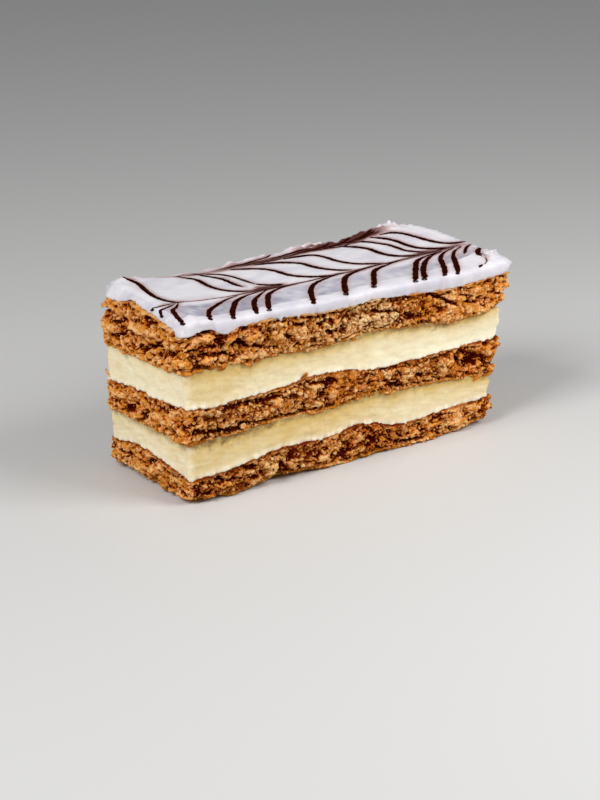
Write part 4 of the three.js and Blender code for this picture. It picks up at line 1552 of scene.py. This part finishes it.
# Chocolate lines: the width of each and the places that it runs through, from its thin end at the
# knife's draw to its thick tip. "swell" is the share of the way over which a line gains its width
CHOCOLATE_LINES = (
    # Between the two draws, from the back draw to the front one
    {"swell": 0.15, "start": 0.5, "hairs": 0, "lines": (
        (1.95, ((8.4, 47.2), (8.6, 44), (8.8, 39), (7.2, 32), (6.3, 27), (6.1, 24), (6.9, 20), (8.9, 17.5),
         (11.5, 17))),
        (1.95, ((24.3, 42.6), (27, 38.8), (27.9, 36), (27.4, 30), (27.6, 26.5), (28.8, 22.9), (31.6, 19.8),
         (35.5, 18.2))),
        (1.6, ((31, 43.6), (33.4, 38.6), (35, 34.5), (35.3, 30.7), (35.2, 26.5), (35.8, 22.8))),
        (1.2, ((32.9, 43), (36.9, 38.6), (38.6, 34.5), (39.3, 30), (39.8, 25.4), (40.4, 23.2))),
        (1.6, ((40.3, 22.7), (41.6, 21), (43.9, 19), (47, 17.7))),
        (1.85, ((42.2, 40.2), (47.5, 36.3), (50.4, 33.3), (52, 29.6), (53, 24.6), (55.3, 20.8), (59.6, 17.6),
         (64.4, 15.9))),
        (1.95, ((50, 38.8), (56.2, 36.8), (60.2, 34), (62.7, 31), (63.6, 27), (65.5, 22.5), (68.5, 19.2),
         (72, 17.5))),
        (2, ((60.6, 38.4), (66, 37.7), (70.8, 36.5), (72.8, 32.5), (73.3, 29), (75, 24.9), (78.2, 21.5),
         (84.5, 18.4))),
        (2, ((84, 41.2), (87.4, 37.4), (89.4, 33), (89.7, 28.2), (90.7, 24.2), (93.5, 20.6), (98.5, 18.1))),
        (1.6, ((92, 40.6), (94.3, 36), (96.3, 31.8), (96.9, 28), (97.6, 23.6), (101.2, 19.4))),
        (1.9, ((96, 41.4), (98.8, 37.4), (100.2, 33.3), (100.7, 28), (102, 23.8), (105, 20.7),
         (109.5, 18.4))),
        (1.8, ((99.6, 41.2), (103.3, 40.3), (105.7, 37.5), (107.2, 32.7), (108.6, 27.1), (110.6, 22.9),
         (113.4, 20.5), (118, 19.4))),
    )},
    # In front of the front draw, down over the edge
    {"swell": 0.5, "start": 0.3, "hairs": 2, "spread": 1.18, "lines": (
        (0.7, ((8.3, 17), (5, 15.9), (2, 15.2), (0.3, 14.9), (-0.6, 14.9), (-1.5, 13.9), (-2.2, 12.8))),
        (0.9, ((8.3, 16.5), (5, 14.2), (2.5, 12.9), (0.5, 12.1), (-0.6, 10.6), (-1.7, 8.6), (-2.8, 6.2))),
        (1.5, ((9.2, 16.6), (6.2, 12.8), (3.6, 10.4), (2.2, 7), (1, 3.5), (-0.2, -0.4), (-1.6, -3.2))),
        (1.5, ((29, 15.8), (24, 13.8), (18, 10.1), (14, 7), (11.6, 3.8), (10, 0.8), (8.5, -2.3))),
        (1.6, ((37.5, 16), (31.5, 14.5), (26, 11.3), (22.3, 7), (19.2, 3), (17, -0.6), (15.2, -3.6))),
        (1.6, ((39.5, 16), (35.5, 13.2), (31.7, 10), (28.6, 6), (26.2, 1.6), (25, -0.6), (23.8, -2.9))),
        (1.6, ((50, 15.7), (43.5, 15), (38.2, 12.3), (35, 8.3), (32.3, 4.1), (30, 0.2), (28.1, -2.9))),
        (1.6, ((68, 16.2), (60.5, 14.9), (54.6, 12.5), (50.6, 8.6), (47.6, 3.9), (45.3, -0.3),
         (43.1, -3.9))),
        (1.8, ((79, 17.2), (71.7, 15.3), (66.3, 12.6), (62.8, 8.6), (59.8, 4), (57.6, 0.4), (55.8, -2.4))),
        (1.7, ((91, 17.8), (84.3, 16.5), (78, 13.7), (74, 9), (71.1, 4.7), (68.6, 1.4), (66.8, -1.2))),
        (1.8, ((104, 16.9), (97.5, 15.7), (93.8, 13.6), (90.4, 9.5), (87.2, 5.4), (84, 1.1), (80.7, -3.3))),
        (1.8, ((106, 17), (100.8, 15.4), (96.5, 12.5), (92.8, 8.7), (89.3, 4.2), (86.8, 0.2), (84.3, -3.1))),
        (1.7, ((111, 17.2), (106.1, 15.6), (102.4, 12.7), (99.9, 8.8), (97.4, 4.3), (95, 0.8),
         (92.4, -2.6))),
        (1.7, ((113.5, 16.8), (109.2, 14.5), (106.1, 11), (103.4, 6.4), (100.7, 2.1), (98.4, -1.4),
         (96.6, -3.7))),
    )},
    {"swell": 0.4, "start": 0.25, "hairs": 0, "lines": (
        (1.3, ((118, 16.7), (115.5, 15.8), (113.2, 14), (111.6, 12.2), (110.3, 10.9))),
        (1.8, ((119.6, 13), (116.8, 11.8), (114.9, 10.1), (113.8, 8.2), (113.3, 6.4))),
        (0.4, ((113.3, 6.2), (113.4, 4.4), (112.3, 2.2), (110.6, 0.6), (109.2, 0.2))),
        (1.3, ((109.2, 0.3), (108, -0.4), (106.6, -1.7))),
    )},
    # Thin lines along the front draw
    {"swell": 0.4, "start": 0.4, "hairs": 0, "lines": (
        (0.4, ((9, 17.2), (14, 16.8), (20, 16.4), (27, 16.3), (33, 16.4))),
        (0.7, ((36, 17.6), (38, 17), (42, 16.2), (46, 16))),
        (0.6, ((46, 16), (50, 15.8), (56, 15.8), (62, 15.9))),
        (0.7, ((72, 16.5), (77, 17.2), (83, 17.9), (88.3, 17.7), (92, 17.9))),
        (0.5, ((98, 18.2), (103, 18.2), (108, 18.4), (114, 18.2))),
    )},
    # Along and behind the back draw, out to the back edge
    {"swell": 0.3, "start": 0.5, "hairs": 0, "lines": (
        (0.9, ((40, 42.6), (44, 42.4), (48, 41.8), (53, 42.4), (57, 42.8), (60, 44.4))),
        (0.6, ((46, 40.6), (51, 39.8), (56, 38.9), (61, 38.6))),
        (1.1, ((58, 41), (62, 41.4), (66, 42), (70, 42.9), (75, 43.2))),
        (1.1, ((68, 40.8), (74, 41.8), (79, 43.2), (83, 45.4))),
        (0.7, ((64, 39.4), (70, 41), (76, 41), (84, 40.8))),
        (1.3, ((78, 41.8), (83, 42.8), (88, 44.2), (91.6, 46.2))),
        (0.9, ((80, 41.4), (84, 40.6), (88, 41.2))),
        (1.2, ((88, 42.6), (93, 43.4), (97, 44.8), (100.2, 46.6))),
        (1, ((92, 42.4), (96, 43.2), (100.4, 45.2))),
        (0.8, ((86.8, 43.6), (88.5, 42.2), (91.4, 40), (93.4, 37.2))),
    )},
)

# A front line's tip splits into hairs: their width and height, how far before the tip they start, how
# far beside the line's middle they run as a share of its width, how far they reach past its tip, and
# how far before the tip the line itself ends
HAIR_WIDTH = 0.66
HAIR_HEIGHT = 0.7
HAIR_RUN = 2.6
HAIR_ASIDE = 0.36
HAIR_PAST = 0.3
TIP_SPLIT = 0.8
STROKE_STEP = 0.3

# Heights of the lid's plane along its front and its back edge
LID_X = (0, 17, 34, 51, 68, 85, 102, 119)
LID_FRONT = (56.8, 55.0, 54.4, 53.6, 53.4, 52.7, 52.1, 52.0)
LID_BACK = (58.6, 56.7, 54.7, 55.4, 55.3, 54.1, 55.3, 56.4)

# Across a line: how far each point lies from its middle, in half widths, and how high it stands,
# in heights above the icing; the last two close it underneath
LINE_SECTION = ((-1, -0.45), (-0.62, 0.7), (0, 1), (0.62, 0.7), (1, -0.45), (0.5, -1.2), (-0.5, -1.2))

# Steps between two places of a line, from which its even points are then taken
CURVE_STEPS = 24


def smooth_run(places, step):
    """Evenly spaced points of a smooth curve through places, the share of the way at each, and its length"""
    places = np.array(places, dtype=float)
    ends = np.vstack([2 * places[0] - places[1], places, 2 * places[-1] - places[-2]])
    share = np.linspace(0, 1, CURVE_STEPS, endpoint=False)[:, None]
    dense = []
    for before, here, after, beyond in zip(ends, ends[1:], ends[2:], ends[3:]):
        slope_here, slope_after = (after - before) / 2, (beyond - here) / 2
        dense.append(
            (2 * share ** 3 - 3 * share ** 2 + 1) * here + (share ** 3 - 2 * share ** 2 + share) * slope_here
            + (3 * share ** 2 - 2 * share ** 3) * after + (share ** 3 - share ** 2) * slope_after
        )
    dense = np.vstack(dense + [places[-1:]])
    run = np.concatenate([[0], np.cumsum(np.hypot(*np.diff(dense, axis=0).T))])
    wanted = np.linspace(0, run[-1], max(4, round(run[-1] / step) + 1))
    points = np.stack([np.interp(wanted, run, dense[:, axis]) for axis in (0, 1)], axis=1)
    return points, wanted / run[-1], run[-1]


def all_strokes():
    """Every chocolate line and hair: its group, width and places, and how high it stands as a share"""
    draw = np.random.default_rng(CHOCOLATE_SEED)
    for group in CHOCOLATE_LINES:
        for width, places in group["lines"]:
            middles, share, run = smooth_run(places, STROKE_STEP)
            split = TIP_SPLIT * draw.uniform(0.8, 1.3) if group["hairs"] else 0
            yield group, width, middles[(1 - share) * run >= split], 1.0
            for side in (-1, 1)[:group["hairs"]]:
                last = middles[(1 - share) * run < HAIR_RUN * draw.uniform(0.8, 1.2)]
                way = (last[-1] - last[0]) / np.linalg.norm(last[-1] - last[0])
                sideways = np.array([way[1], -way[0]]) * side * width * HAIR_ASIDE * draw.uniform(0.8, 1.2)
                opened = np.sin(np.linspace(0.4, 0.95, len(last)) * math.pi)[:, None]
                hair = last + sideways * opened
                hair[-1] += way * HAIR_PAST * draw.uniform(-0.3, 1.0)
                yield group, HAIR_WIDTH * draw.uniform(0.8, 1.3), hair, HAIR_HEIGHT


def line_rows(icing, look, number, stroke):
    """Rows of points round one line, how near its tip each row is, and which rows lie on the icing"""
    group, width, places, low = stroke
    middles, share, run = smooth_run(places, look.step / MM)
    ahead = np.gradient(middles, axis=0)
    ahead /= np.linalg.norm(ahead, axis=1)[:, None]
    sideways = np.stack([ahead[:, 1], -ahead[:, 0]], axis=1)
    start = group["start"] + (1 - group["start"]) * ramp(share, 0, group["swell"])
    tip = np.clip(0.10 + (1 - share) * run / (0.10 * run + 0.7), 0, 1) ** 0.75
    x, y = middles.T
    ragged = 1 + 0.26 * noise(x / 0.9, y / 0.9, number * 1.7, CHOCOLATE_SEED + 1)
    half = 0.5 * look.spread * group.get("spread", 1) * width * (start * tip) * ragged
    rows = []
    for offset, rise in LINE_SECTION:
        stray = 0.20 * noise(x / 0.5, y / 0.5, number * 1.7 + offset, CHOCOLATE_SEED + 2) * abs(offset)
        spots = middles + sideways * (half * offset + stray)[:, None]
        rows.append(lay_on(icing, spots, look.height / MM * low * rise * np.minimum(1, half / 0.35)))
    tube = np.stack(rows, axis=1)
    return tube, np.exp(-((1 - share) * run / 1.2) ** 2), ~np.isnan(tube).any(axis=(1, 2))


def build_chocolate(look, material):
    """The chocolate lines, each a low ridge that lies on the icing"""
    name = "chocolate_feathering"
    fresh_piece(name)
    icing = Solid(bpy.data.objects["fondant_lid"].data)
    count = len(LINE_SECTION)
    points, faces, tips = [], [], []
    first = 0
    for number, stroke in enumerate(all_strokes()):
        tube, near_tip, keep = line_rows(icing, look, number, stroke)
        tube = tube[keep]
        if len(tube) < 3:
            continue
        tips.append(np.repeat(near_tip[keep], count))
        points.append(tube.reshape(-1, 3))
        last = first + (len(tube) - 1) * count
        for row in range(first, last, count):
            faces += band_faces(row, row + count, count, flip=True).tolist()
        faces.append([first + index for index in range(count)])
        faces.append([last + index for index in reversed(range(count))])
        first = last + count
    piece = make_piece(name, np.concatenate(points), faces, {"tip": np.concatenate(tips)})
    dress(piece, [], material)


def lay_on(icing, spots, rise):
    """Points over places of the lid's plane, laid along the slant on to the icing, and raised"""
    x, y = spots.T
    share = np.clip(y / DEPTH, 0, 1)
    front, back = [np.interp(x, LID_X, heights) for heights in (LID_FRONT, LID_BACK)]
    result = np.full((len(spots), 3), np.nan)
    for index, (level, lift) in enumerate(zip(front * (1 - share) + back * share, rise)):
        spot = Vector((CORNER_X + x[index], CORNER_Y + y[index], level))
        met, normal = icing.tree.ray_cast(spot - SLANT * DROP_START, SLANT, DROP_REACH)[:2]
        if met:
            result[index] = met + normal * lift
    return result


class MILLEFEUILLE_OT_chocolate(Operator):
    """Lays the chocolate lines on the icing"""
    bl_idname = "millefeuille.chocolate"
    bl_label = "Chocolate feathering"

    def execute(self, context):
        if "fondant_lid" not in bpy.data.objects:
            raise RuntimeError("Build the icing before the chocolate that lies on it")
        look = context.scene.mille_feuille.chocolate
        build_chocolate(look, chocolate_finish(look))
        return {"FINISHED"}


# Crumbs --------

CRUMB_SEED = 800


def ball_template(subdivisions):
    """Points and faces of a small round ball"""
    shape = bmesh.new()
    bmesh.ops.create_icosphere(shape, subdivisions=subdivisions, radius=1)
    points = np.array([vertex.co[:] for vertex in shape.verts])
    faces = np.array([[vertex.index for vertex in face.verts] for face in shape.faces])
    shape.free()
    return points, faces


def random_turns(count, draw):
    """Random rotations"""
    turns = draw.normal(size=(count, 4))
    turns /= np.linalg.norm(turns, axis=1)[:, None]
    w, x, y, z = turns.T
    return np.stack([
        np.stack([1 - 2 * (y * y + z * z), 2 * (x * y - w * z), 2 * (x * z + w * y)], axis=-1),
        np.stack([2 * (x * y + w * z), 1 - 2 * (x * x + z * z), 2 * (y * z - w * x)], axis=-1),
        np.stack([2 * (x * z - w * y), 2 * (y * z + w * x), 1 - 2 * (x * x + y * y)], axis=-1),
    ], axis=1)


def mesh_values(source, title, width):
    """Values that a mesh holds at its points, as an array"""
    held = np.zeros(len(source) * width)
    source.foreach_get(title, held)
    return held.reshape(-1, width) if width > 1 else held


def crumbly_sides():
    """For each pastry layer the points, normals and named values of its side, without its rims"""
    columns = Plan(bpy.context.scene.mille_feuille.pastry.grain / MM).count
    for layer in PASTRY_LAYERS:
        mesh = bpy.data.objects[layer["node"] + "_crumb"].data
        count = len(mesh.vertices)
        shown = slice(2 * columns, count - 2 * (len(CAP_INSETS) + 1) * columns)
        co = mesh_values(mesh.vertices, "co", 3)[shown] / MM
        normals = mesh_values(mesh.vertices, "normal", 3)[shown]
        held = {title: mesh.attributes[title].data for title in PASTRY_VALUES}
        yield co, normals, {title: mesh_values(data, "value", 1)[shown] for title, data in held.items()}


# The knobs on a crumb: how many there are across it, how high they are as a share of it, and how far
# the noise is moved on from one crumb to the next
KNOB_SCALE = 1.5
KNOB_HEIGHT = 0.45
KNOB_SHIFT = 0.37


def knobbly(ball, picks):
    """How far each point of each crumb's ball stands out"""
    x, y, z = (ball * KNOB_SCALE).T[:, None]
    return 1 + KNOB_HEIGHT * noise(x + picks[:, None] * KNOB_SHIFT, y, z, CRUMB_SEED)


class Scatter:
    """Gathers many small shapes into one mesh"""

    def __init__(self):
        self.points, self.faces, self.count = [], [], 0
        self.values = {title: [] for title in PASTRY_VALUES}

    def put(self, placed, faces, values):
        """Adds shapes whose points are placed, each with its own values or with values at its points"""
        shapes, corners = placed.shape[:2]
        self.points.append(kept_in(placed).reshape(-1, 3))
        firsts = self.count + corners * np.arange(shapes)
        self.faces.append((faces[None] + firsts[:, None, None]).reshape(-1, 3))
        self.count += shapes * corners
        for title, held in values.items():
            if held.ndim == 1:
                held = np.repeat(held[:, None], corners, axis=1)
            if title in ("lift", "tone"):
                held = np.clip(held, 0, 1)
            self.values[title].append(held.ravel())

    def piece(self, name):
        """Flat-sided object of all that was put in"""
        values = {title: np.concatenate(parts) for title, parts in self.values.items()}
        faces = np.concatenate(self.faces).tolist()
        return make_piece(name, np.concatenate(self.points), faces, values, smooth=False)


def build_crumbs(look, material):
    """Crumbs that cling to the pastry's cut sides"""
    fresh_piece("pastry_crumbs")
    draw = np.random.default_rng(CRUMB_SEED)
    kinds = (
        (look.large, look.middling, look.largest, ball_template(2)),
        (look.small, look.smallest, look.middling, ball_template(1)),
    )
    scatter = Scatter()
    sides = list(crumbly_sides())
    whole = sum(len(co) for co, _, _ in sides)
    for co, normals, values in sides:
        for total, smallest, largest, (ball, ball_faces) in kinds:
            count = round(total * len(co) / whole)
            picks = draw.integers(0, len(co), count)
            width = (smallest + (largest - smallest) * draw.random(count) ** 1.8) / MM / 2
            bumps = knobbly(ball, picks)
            local = ball[None] * (width[:, None] * draw.uniform(0.6, 1.15, (count, 3)))[:, None, :]
            local = np.einsum("nij,nkj->nki", random_turns(count, draw), local * bumps[..., None])
            sunk = draw.uniform(-0.3, 0.4, count)
            centres = co[picks] + normals[picks] * (width * sunk)[:, None]
            outward = np.einsum("nki,ni->nk", local, normals[picks]) / width[:, None]
            own = {title: values[title][picks] for title in PASTRY_VALUES}
            # Each crumb is painted lighter on its outer side and its knobs and darker towards the wall:
            # painted light and shade
            own["lift"] = 0.45 + 0.3 * own["lift"][:, None] + 0.3 * outward + 0.4 * (bumps - 1)
            own["lift"] += draw.normal(0, 0.12, count)[:, None]
            own["tone"] = own["tone"] + draw.normal(0, 0.3, count)
            scatter.put(centres[:, None, :] + local, ball_faces, own)
    dress(scatter.piece("pastry_crumbs"), [], material)


# Single flakes that stick out or hang over the cream: the place of each in plan and height, its
# length, height and thickness, how far it is tipped in degrees, and how bright and how toasted it is.
# One that starts at the near end lies along that end instead of along the front
STRAY_FLAKES = (
    ((40.2, -0.1, 31), (3, 1.2, 0.6), 28, 0.5, 0.3),
    ((-0.3, 45.2, 29.6), (3.4, 1.1, 0.8), 38, 0.75, 0.3),
    ((21.5, -0.2, 39.3), (2.6, 2.2, 1.2), 50, 0.62, 0.5),
    ((24.5, -0.2, 39.8), (3.4, 1.6, 1.2), 12, 0.6, 0.4),
    ((106.6, -0.2, 16.4), (4.4, 1.7, 0.9), 26, 0.6, 0.6),
    ((70, -0.1, 19.5), (3.6, 0.9, 0.6), 6, 0.5, 0.5),
    ((95, -0.3, 36.2), (3.4, 1.5, 1), 8, 0.75, 0.3),
    ((57, -0.1, 38.9), (2.6, 1.4, 0.8), -38, 0.5, 0.7),
    ((12.5, -0.2, 40.2), (3.4, 1.8, 1.1), 20, 0.55, 0.5),
    ((-0.2, 9, 39.8), (2.4, 1.3, 0.9), 20, 0.55, 0.6),
    ((-0.2, 24, 19.3), (2.8, 1.2, 0.8), 10, 0.55, 0.6),
)


def lay_flakes(scatter, look):
    """Adds the thin chips of pastry that lie along the crusts"""
    draw = np.random.default_rng(CRUMB_SEED + 1)
    ball, ball_faces = ball_template(1)
    sides = list(crumbly_sides())
    whole = sum(len(co) for co, _, _ in sides)
    for co, normals, values in sides:
        count = round(look.flakes * len(co) / whole)
        liking = 0.25 + values["crust"] + values["fringe"] + 0.8 * values["toast"]
        picks = draw.choice(len(co), count, p=liking / liking.sum())
        outward = normals[picks] + draw.normal(0, 0.35, (count, 3))
        outward /= np.linalg.norm(outward, axis=1)[:, None]
        level = np.cross(outward, [0, 0, 1]) + draw.normal(0, 0.3, (count, 3))
        level -= outward * (level * outward).sum(1)[:, None]
        level /= np.linalg.norm(level, axis=1)[:, None]
        upright = np.cross(outward, level)
        length = look.flake / MM * (0.3 + 0.7 * draw.random(count) ** 2.2) / 2
        width = length * draw.uniform(0.35, 0.75, count)
        thickness = length * draw.uniform(0.12, 0.3, count)
        sizes = np.stack([length, width, thickness], axis=1)
        local = ball[None] * sizes[:, None] * knobbly(ball, picks)[..., None]
        local[..., 2] += (draw.uniform(-0.25, 0.5, count) / length)[:, None] * local[..., 0] ** 2
        turns = np.stack([level, upright, outward], axis=2)
        centres = co[picks] + normals[picks] * (length * draw.uniform(0.0, 0.25, count))[:, None]
        own = {title: values[title][picks] for title in PASTRY_VALUES}
        # Each flake is painted lighter along its upper edge: painted light from above
        own["lift"] = (0.42 + 0.35 * own["lift"] + draw.normal(0, 0.16, count))[:, None] + 0.25 * ball[:, 1]
        own["tone"] = own["tone"] + draw.normal(0, 0.3, count)
        own["toast"] = np.clip(own["toast"] + 0.1, 0, 1)
        scatter.put(centres[:, None] + np.einsum("nij,nkj->nki", turns, local), ball_faces, own)


def add_stray_flakes(scatter):
    """Adds the single flakes that stick out"""
    ball, ball_faces = ball_template(2)
    for number, (spot, sizes, tipped, lift, toast) in enumerate(STRAY_FLAKES):
        local = ball * (0.5 * np.array(sizes)[[0, 2, 1]]) * knobbly(ball, np.array([number * 31]))[0][:, None]
        turn = Matrix.Rotation(math.radians(-tipped), 3, "Y")
        if spot[0] < 0:
            turn = Matrix.Rotation(math.radians(90), 3, "Z") @ turn
        turn = np.array(turn)
        values = {"lift": lift, "tone": 0.5, "crust": 0.0, "fringe": 0.0, "toast": toast, "bake": 0.0}
        placed = place(*spot)[None] + local @ turn.T
        scatter.put(placed[None], ball_faces, {title: np.array([held]) for title, held in values.items()})


def build_flakes(look, material):
    """Thin chips of pastry along the crusts, and single flakes that stick out"""
    fresh_piece("pastry_flakes")
    scatter = Scatter()
    lay_flakes(scatter, look)
    add_stray_flakes(scatter)
    dress(scatter.piece("pastry_flakes"), [], material)


class MILLEFEUILLE_OT_crumbs(Operator):
    """Scatters crumbs over the pastry's cut sides"""
    bl_idname = "millefeuille.crumbs"
    bl_label = "Crumbs and flakes"

    def execute(self, context):
        look = context.scene.mille_feuille.crumbs
        material = bpy.data.materials["baked pastry"]
        build_crumbs(look, material)
        build_flakes(look, material)
        return {"FINISHED"}


# Stage --------

# Where the camera stands and what it looks at, in millimetres, how far it is rolled, how wide its
# sensor is, also in millimetres, and from how near it sees, in metres
CAMERA_PLACE = Vector((-389.95, -586.89, 261.65))
CAMERA_TARGET = Vector((-31.48, -40.94, 31.45))
CAMERA_ROLL = math.radians(2.502)
SENSOR_WIDTH = 36
NEAREST = 0.01

# The floor's reach from the slice in metres, the width in millimetres and the colour of its faint
# mottling, and the colour of the sky
FLOOR_REACH = 3.0
MOTTLE_WIDTH = 60.0
MOTTLE = "#C9C8C6"
SKY = (0.95, 0.97, 1.0, 1)

# Softboxes: name, direction from the slice in degrees round and up, distance and side in metres, and
# power in watts
SOFTBOXES = (
    {"name": "left softbox", "round": -78, "up": 44, "away": 0.9, "side": 0.4, "power": 5.0},
    {"name": "right softbox", "round": 30, "up": 40, "away": 0.5, "side": 0.25, "power": 1.5},
)


def build_stage(look):
    """Floor, softboxes, sky and camera"""
    scene = bpy.context.scene
    fresh_piece("floor")
    reach = FLOOR_REACH / MM
    corners = [(-reach, -reach, 0), (reach, -reach, 0), (reach, reach, 0), (-reach, reach, 0)]
    floor = make_piece("floor", corners, [(0, 1, 2, 3)], smooth=False)
    finish = Finish("pale floor")
    mottle = finish.speckle(MOTTLE_WIDTH, 2.0)
    floor.data.materials.append(finish.surface({
        "Base Color": finish.mix(mottle * 0.06, look.floor, tint(MOTTLE)),
        "Roughness": 0.55 + mottle * 0.05,
    }))
    floor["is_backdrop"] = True
    for box in SOFTBOXES:
        add_softbox(box)
    world = bpy.data.worlds.new("soft studio")
    world.use_nodes = True
    background = world.node_tree.nodes["Background"]
    background.inputs["Color"].default_value = SKY
    background.inputs["Strength"].default_value = look.sky
    scene.world = world
    scene.camera = add_camera(look)
    scene.view_settings.view_transform = "Standard"


def add_softbox(box):
    """A square lamp that faces the slice"""
    lamp = bpy.data.lights.new(box["name"], "AREA")
    lamp.energy = box["power"]
    lamp.size = box["side"]
    turn, up = math.radians(box["round"]), math.radians(box["up"])
    away = Vector((math.sin(turn) * math.cos(up), -math.cos(turn) * math.cos(up), math.sin(up)))
    lamp_object = bpy.data.objects.new(box["name"], lamp)
    lamp_object.location = away * box["away"]
    lamp_object.rotation_euler = away.to_track_quat("Z", "Y").to_euler()
    bpy.context.scene.collection.objects.link(lamp_object)


def add_camera(look):
    """The camera, turned to its target and rolled"""
    camera = bpy.data.cameras.new("camera")
    camera.lens = look.lens
    camera.sensor_width = SENSOR_WIDTH
    camera.clip_start = NEAREST
    camera_object = bpy.data.objects.new("camera", camera)
    forward = (CAMERA_TARGET - CAMERA_PLACE).normalized()
    right = forward.cross(Vector((0, 0, 1))).normalized()
    up = right.cross(forward)
    rolled_right = right * math.cos(CAMERA_ROLL) - up * math.sin(CAMERA_ROLL)
    rolled_up = right * math.sin(CAMERA_ROLL) + up * math.cos(CAMERA_ROLL)
    turn = Matrix((rolled_right, rolled_up, -forward)).transposed()
    camera_object.matrix_world = Matrix.Translation(CAMERA_PLACE * MM) @ turn.to_4x4()
    bpy.context.scene.collection.objects.link(camera_object)
    return camera_object


class MILLEFEUILLE_OT_stage(Operator):
    """Builds the floor, the lights and the camera"""
    bl_idname = "millefeuille.stage"
    bl_label = "Stage"

    def execute(self, context):
        build_stage(context.scene.mille_feuille.stage)
        return {"FINISHED"}


class MILLEFEUILLE_PT_panel(Panel):
    """Lists the slice's operators and their sizes and colours"""
    bl_idname = "MILLEFEUILLE_PT_panel"
    bl_label = "Mille feuille"
    bl_space_type = "VIEW_3D"
    bl_region_type = "UI"
    bl_category = "Mille feuille"

    def draw(self, context):
        look = context.scene.mille_feuille
        for operator, part in BUILD_ORDER:
            column = self.layout.column(align=True)
            column.operator(operator.bl_idname)
            group = getattr(look, part)
            for title in group.__annotations__:
                column.prop(group, title)


BUILD_ORDER = (
    (MILLEFEUILLE_OT_stage, "stage"),
    (MILLEFEUILLE_OT_pastry, "pastry"),
    (MILLEFEUILLE_OT_cream, "cream"),
    (MILLEFEUILLE_OT_icing, "icing"),
    (MILLEFEUILLE_OT_chocolate, "chocolate"),
    (MILLEFEUILLE_OT_crumbs, "crumbs"),
)
CLASSES = (
    PastryLook, CreamLook, IcingLook, ChocolateLook, CrumbLook, StageLook, MilleFeuilleLook,
    *(operator for operator, _ in BUILD_ORDER), MILLEFEUILLE_PT_panel,
)


def register():
    """Adds the slice's classes and its sizes and colours to Blender"""
    for cls in CLASSES:
        bpy.utils.register_class(cls)
    bpy.types.Scene.mille_feuille = PointerProperty(type=MilleFeuilleLook)


def unregister():
    """Takes them out of Blender again"""
    del bpy.types.Scene.mille_feuille
    for cls in reversed(CLASSES):
        bpy.utils.unregister_class(cls)


def main():
    """Builds the whole slice and measures how large it came out beside its solids"""
    register()
    bpy.ops.millefeuille.stage()
    bpy.ops.millefeuille.pastry()
    bpy.ops.millefeuille.cream()
    bpy.ops.millefeuille.icing()
    bpy.ops.millefeuille.chocolate()
    bpy.ops.millefeuille.crumbs()
    boxes = {"cad": CAD_BOX, "visual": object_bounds()}
    {name: [list(corner) for corner in box] for name, box in boxes.items()}


if __name__ == "__main__":
    main()
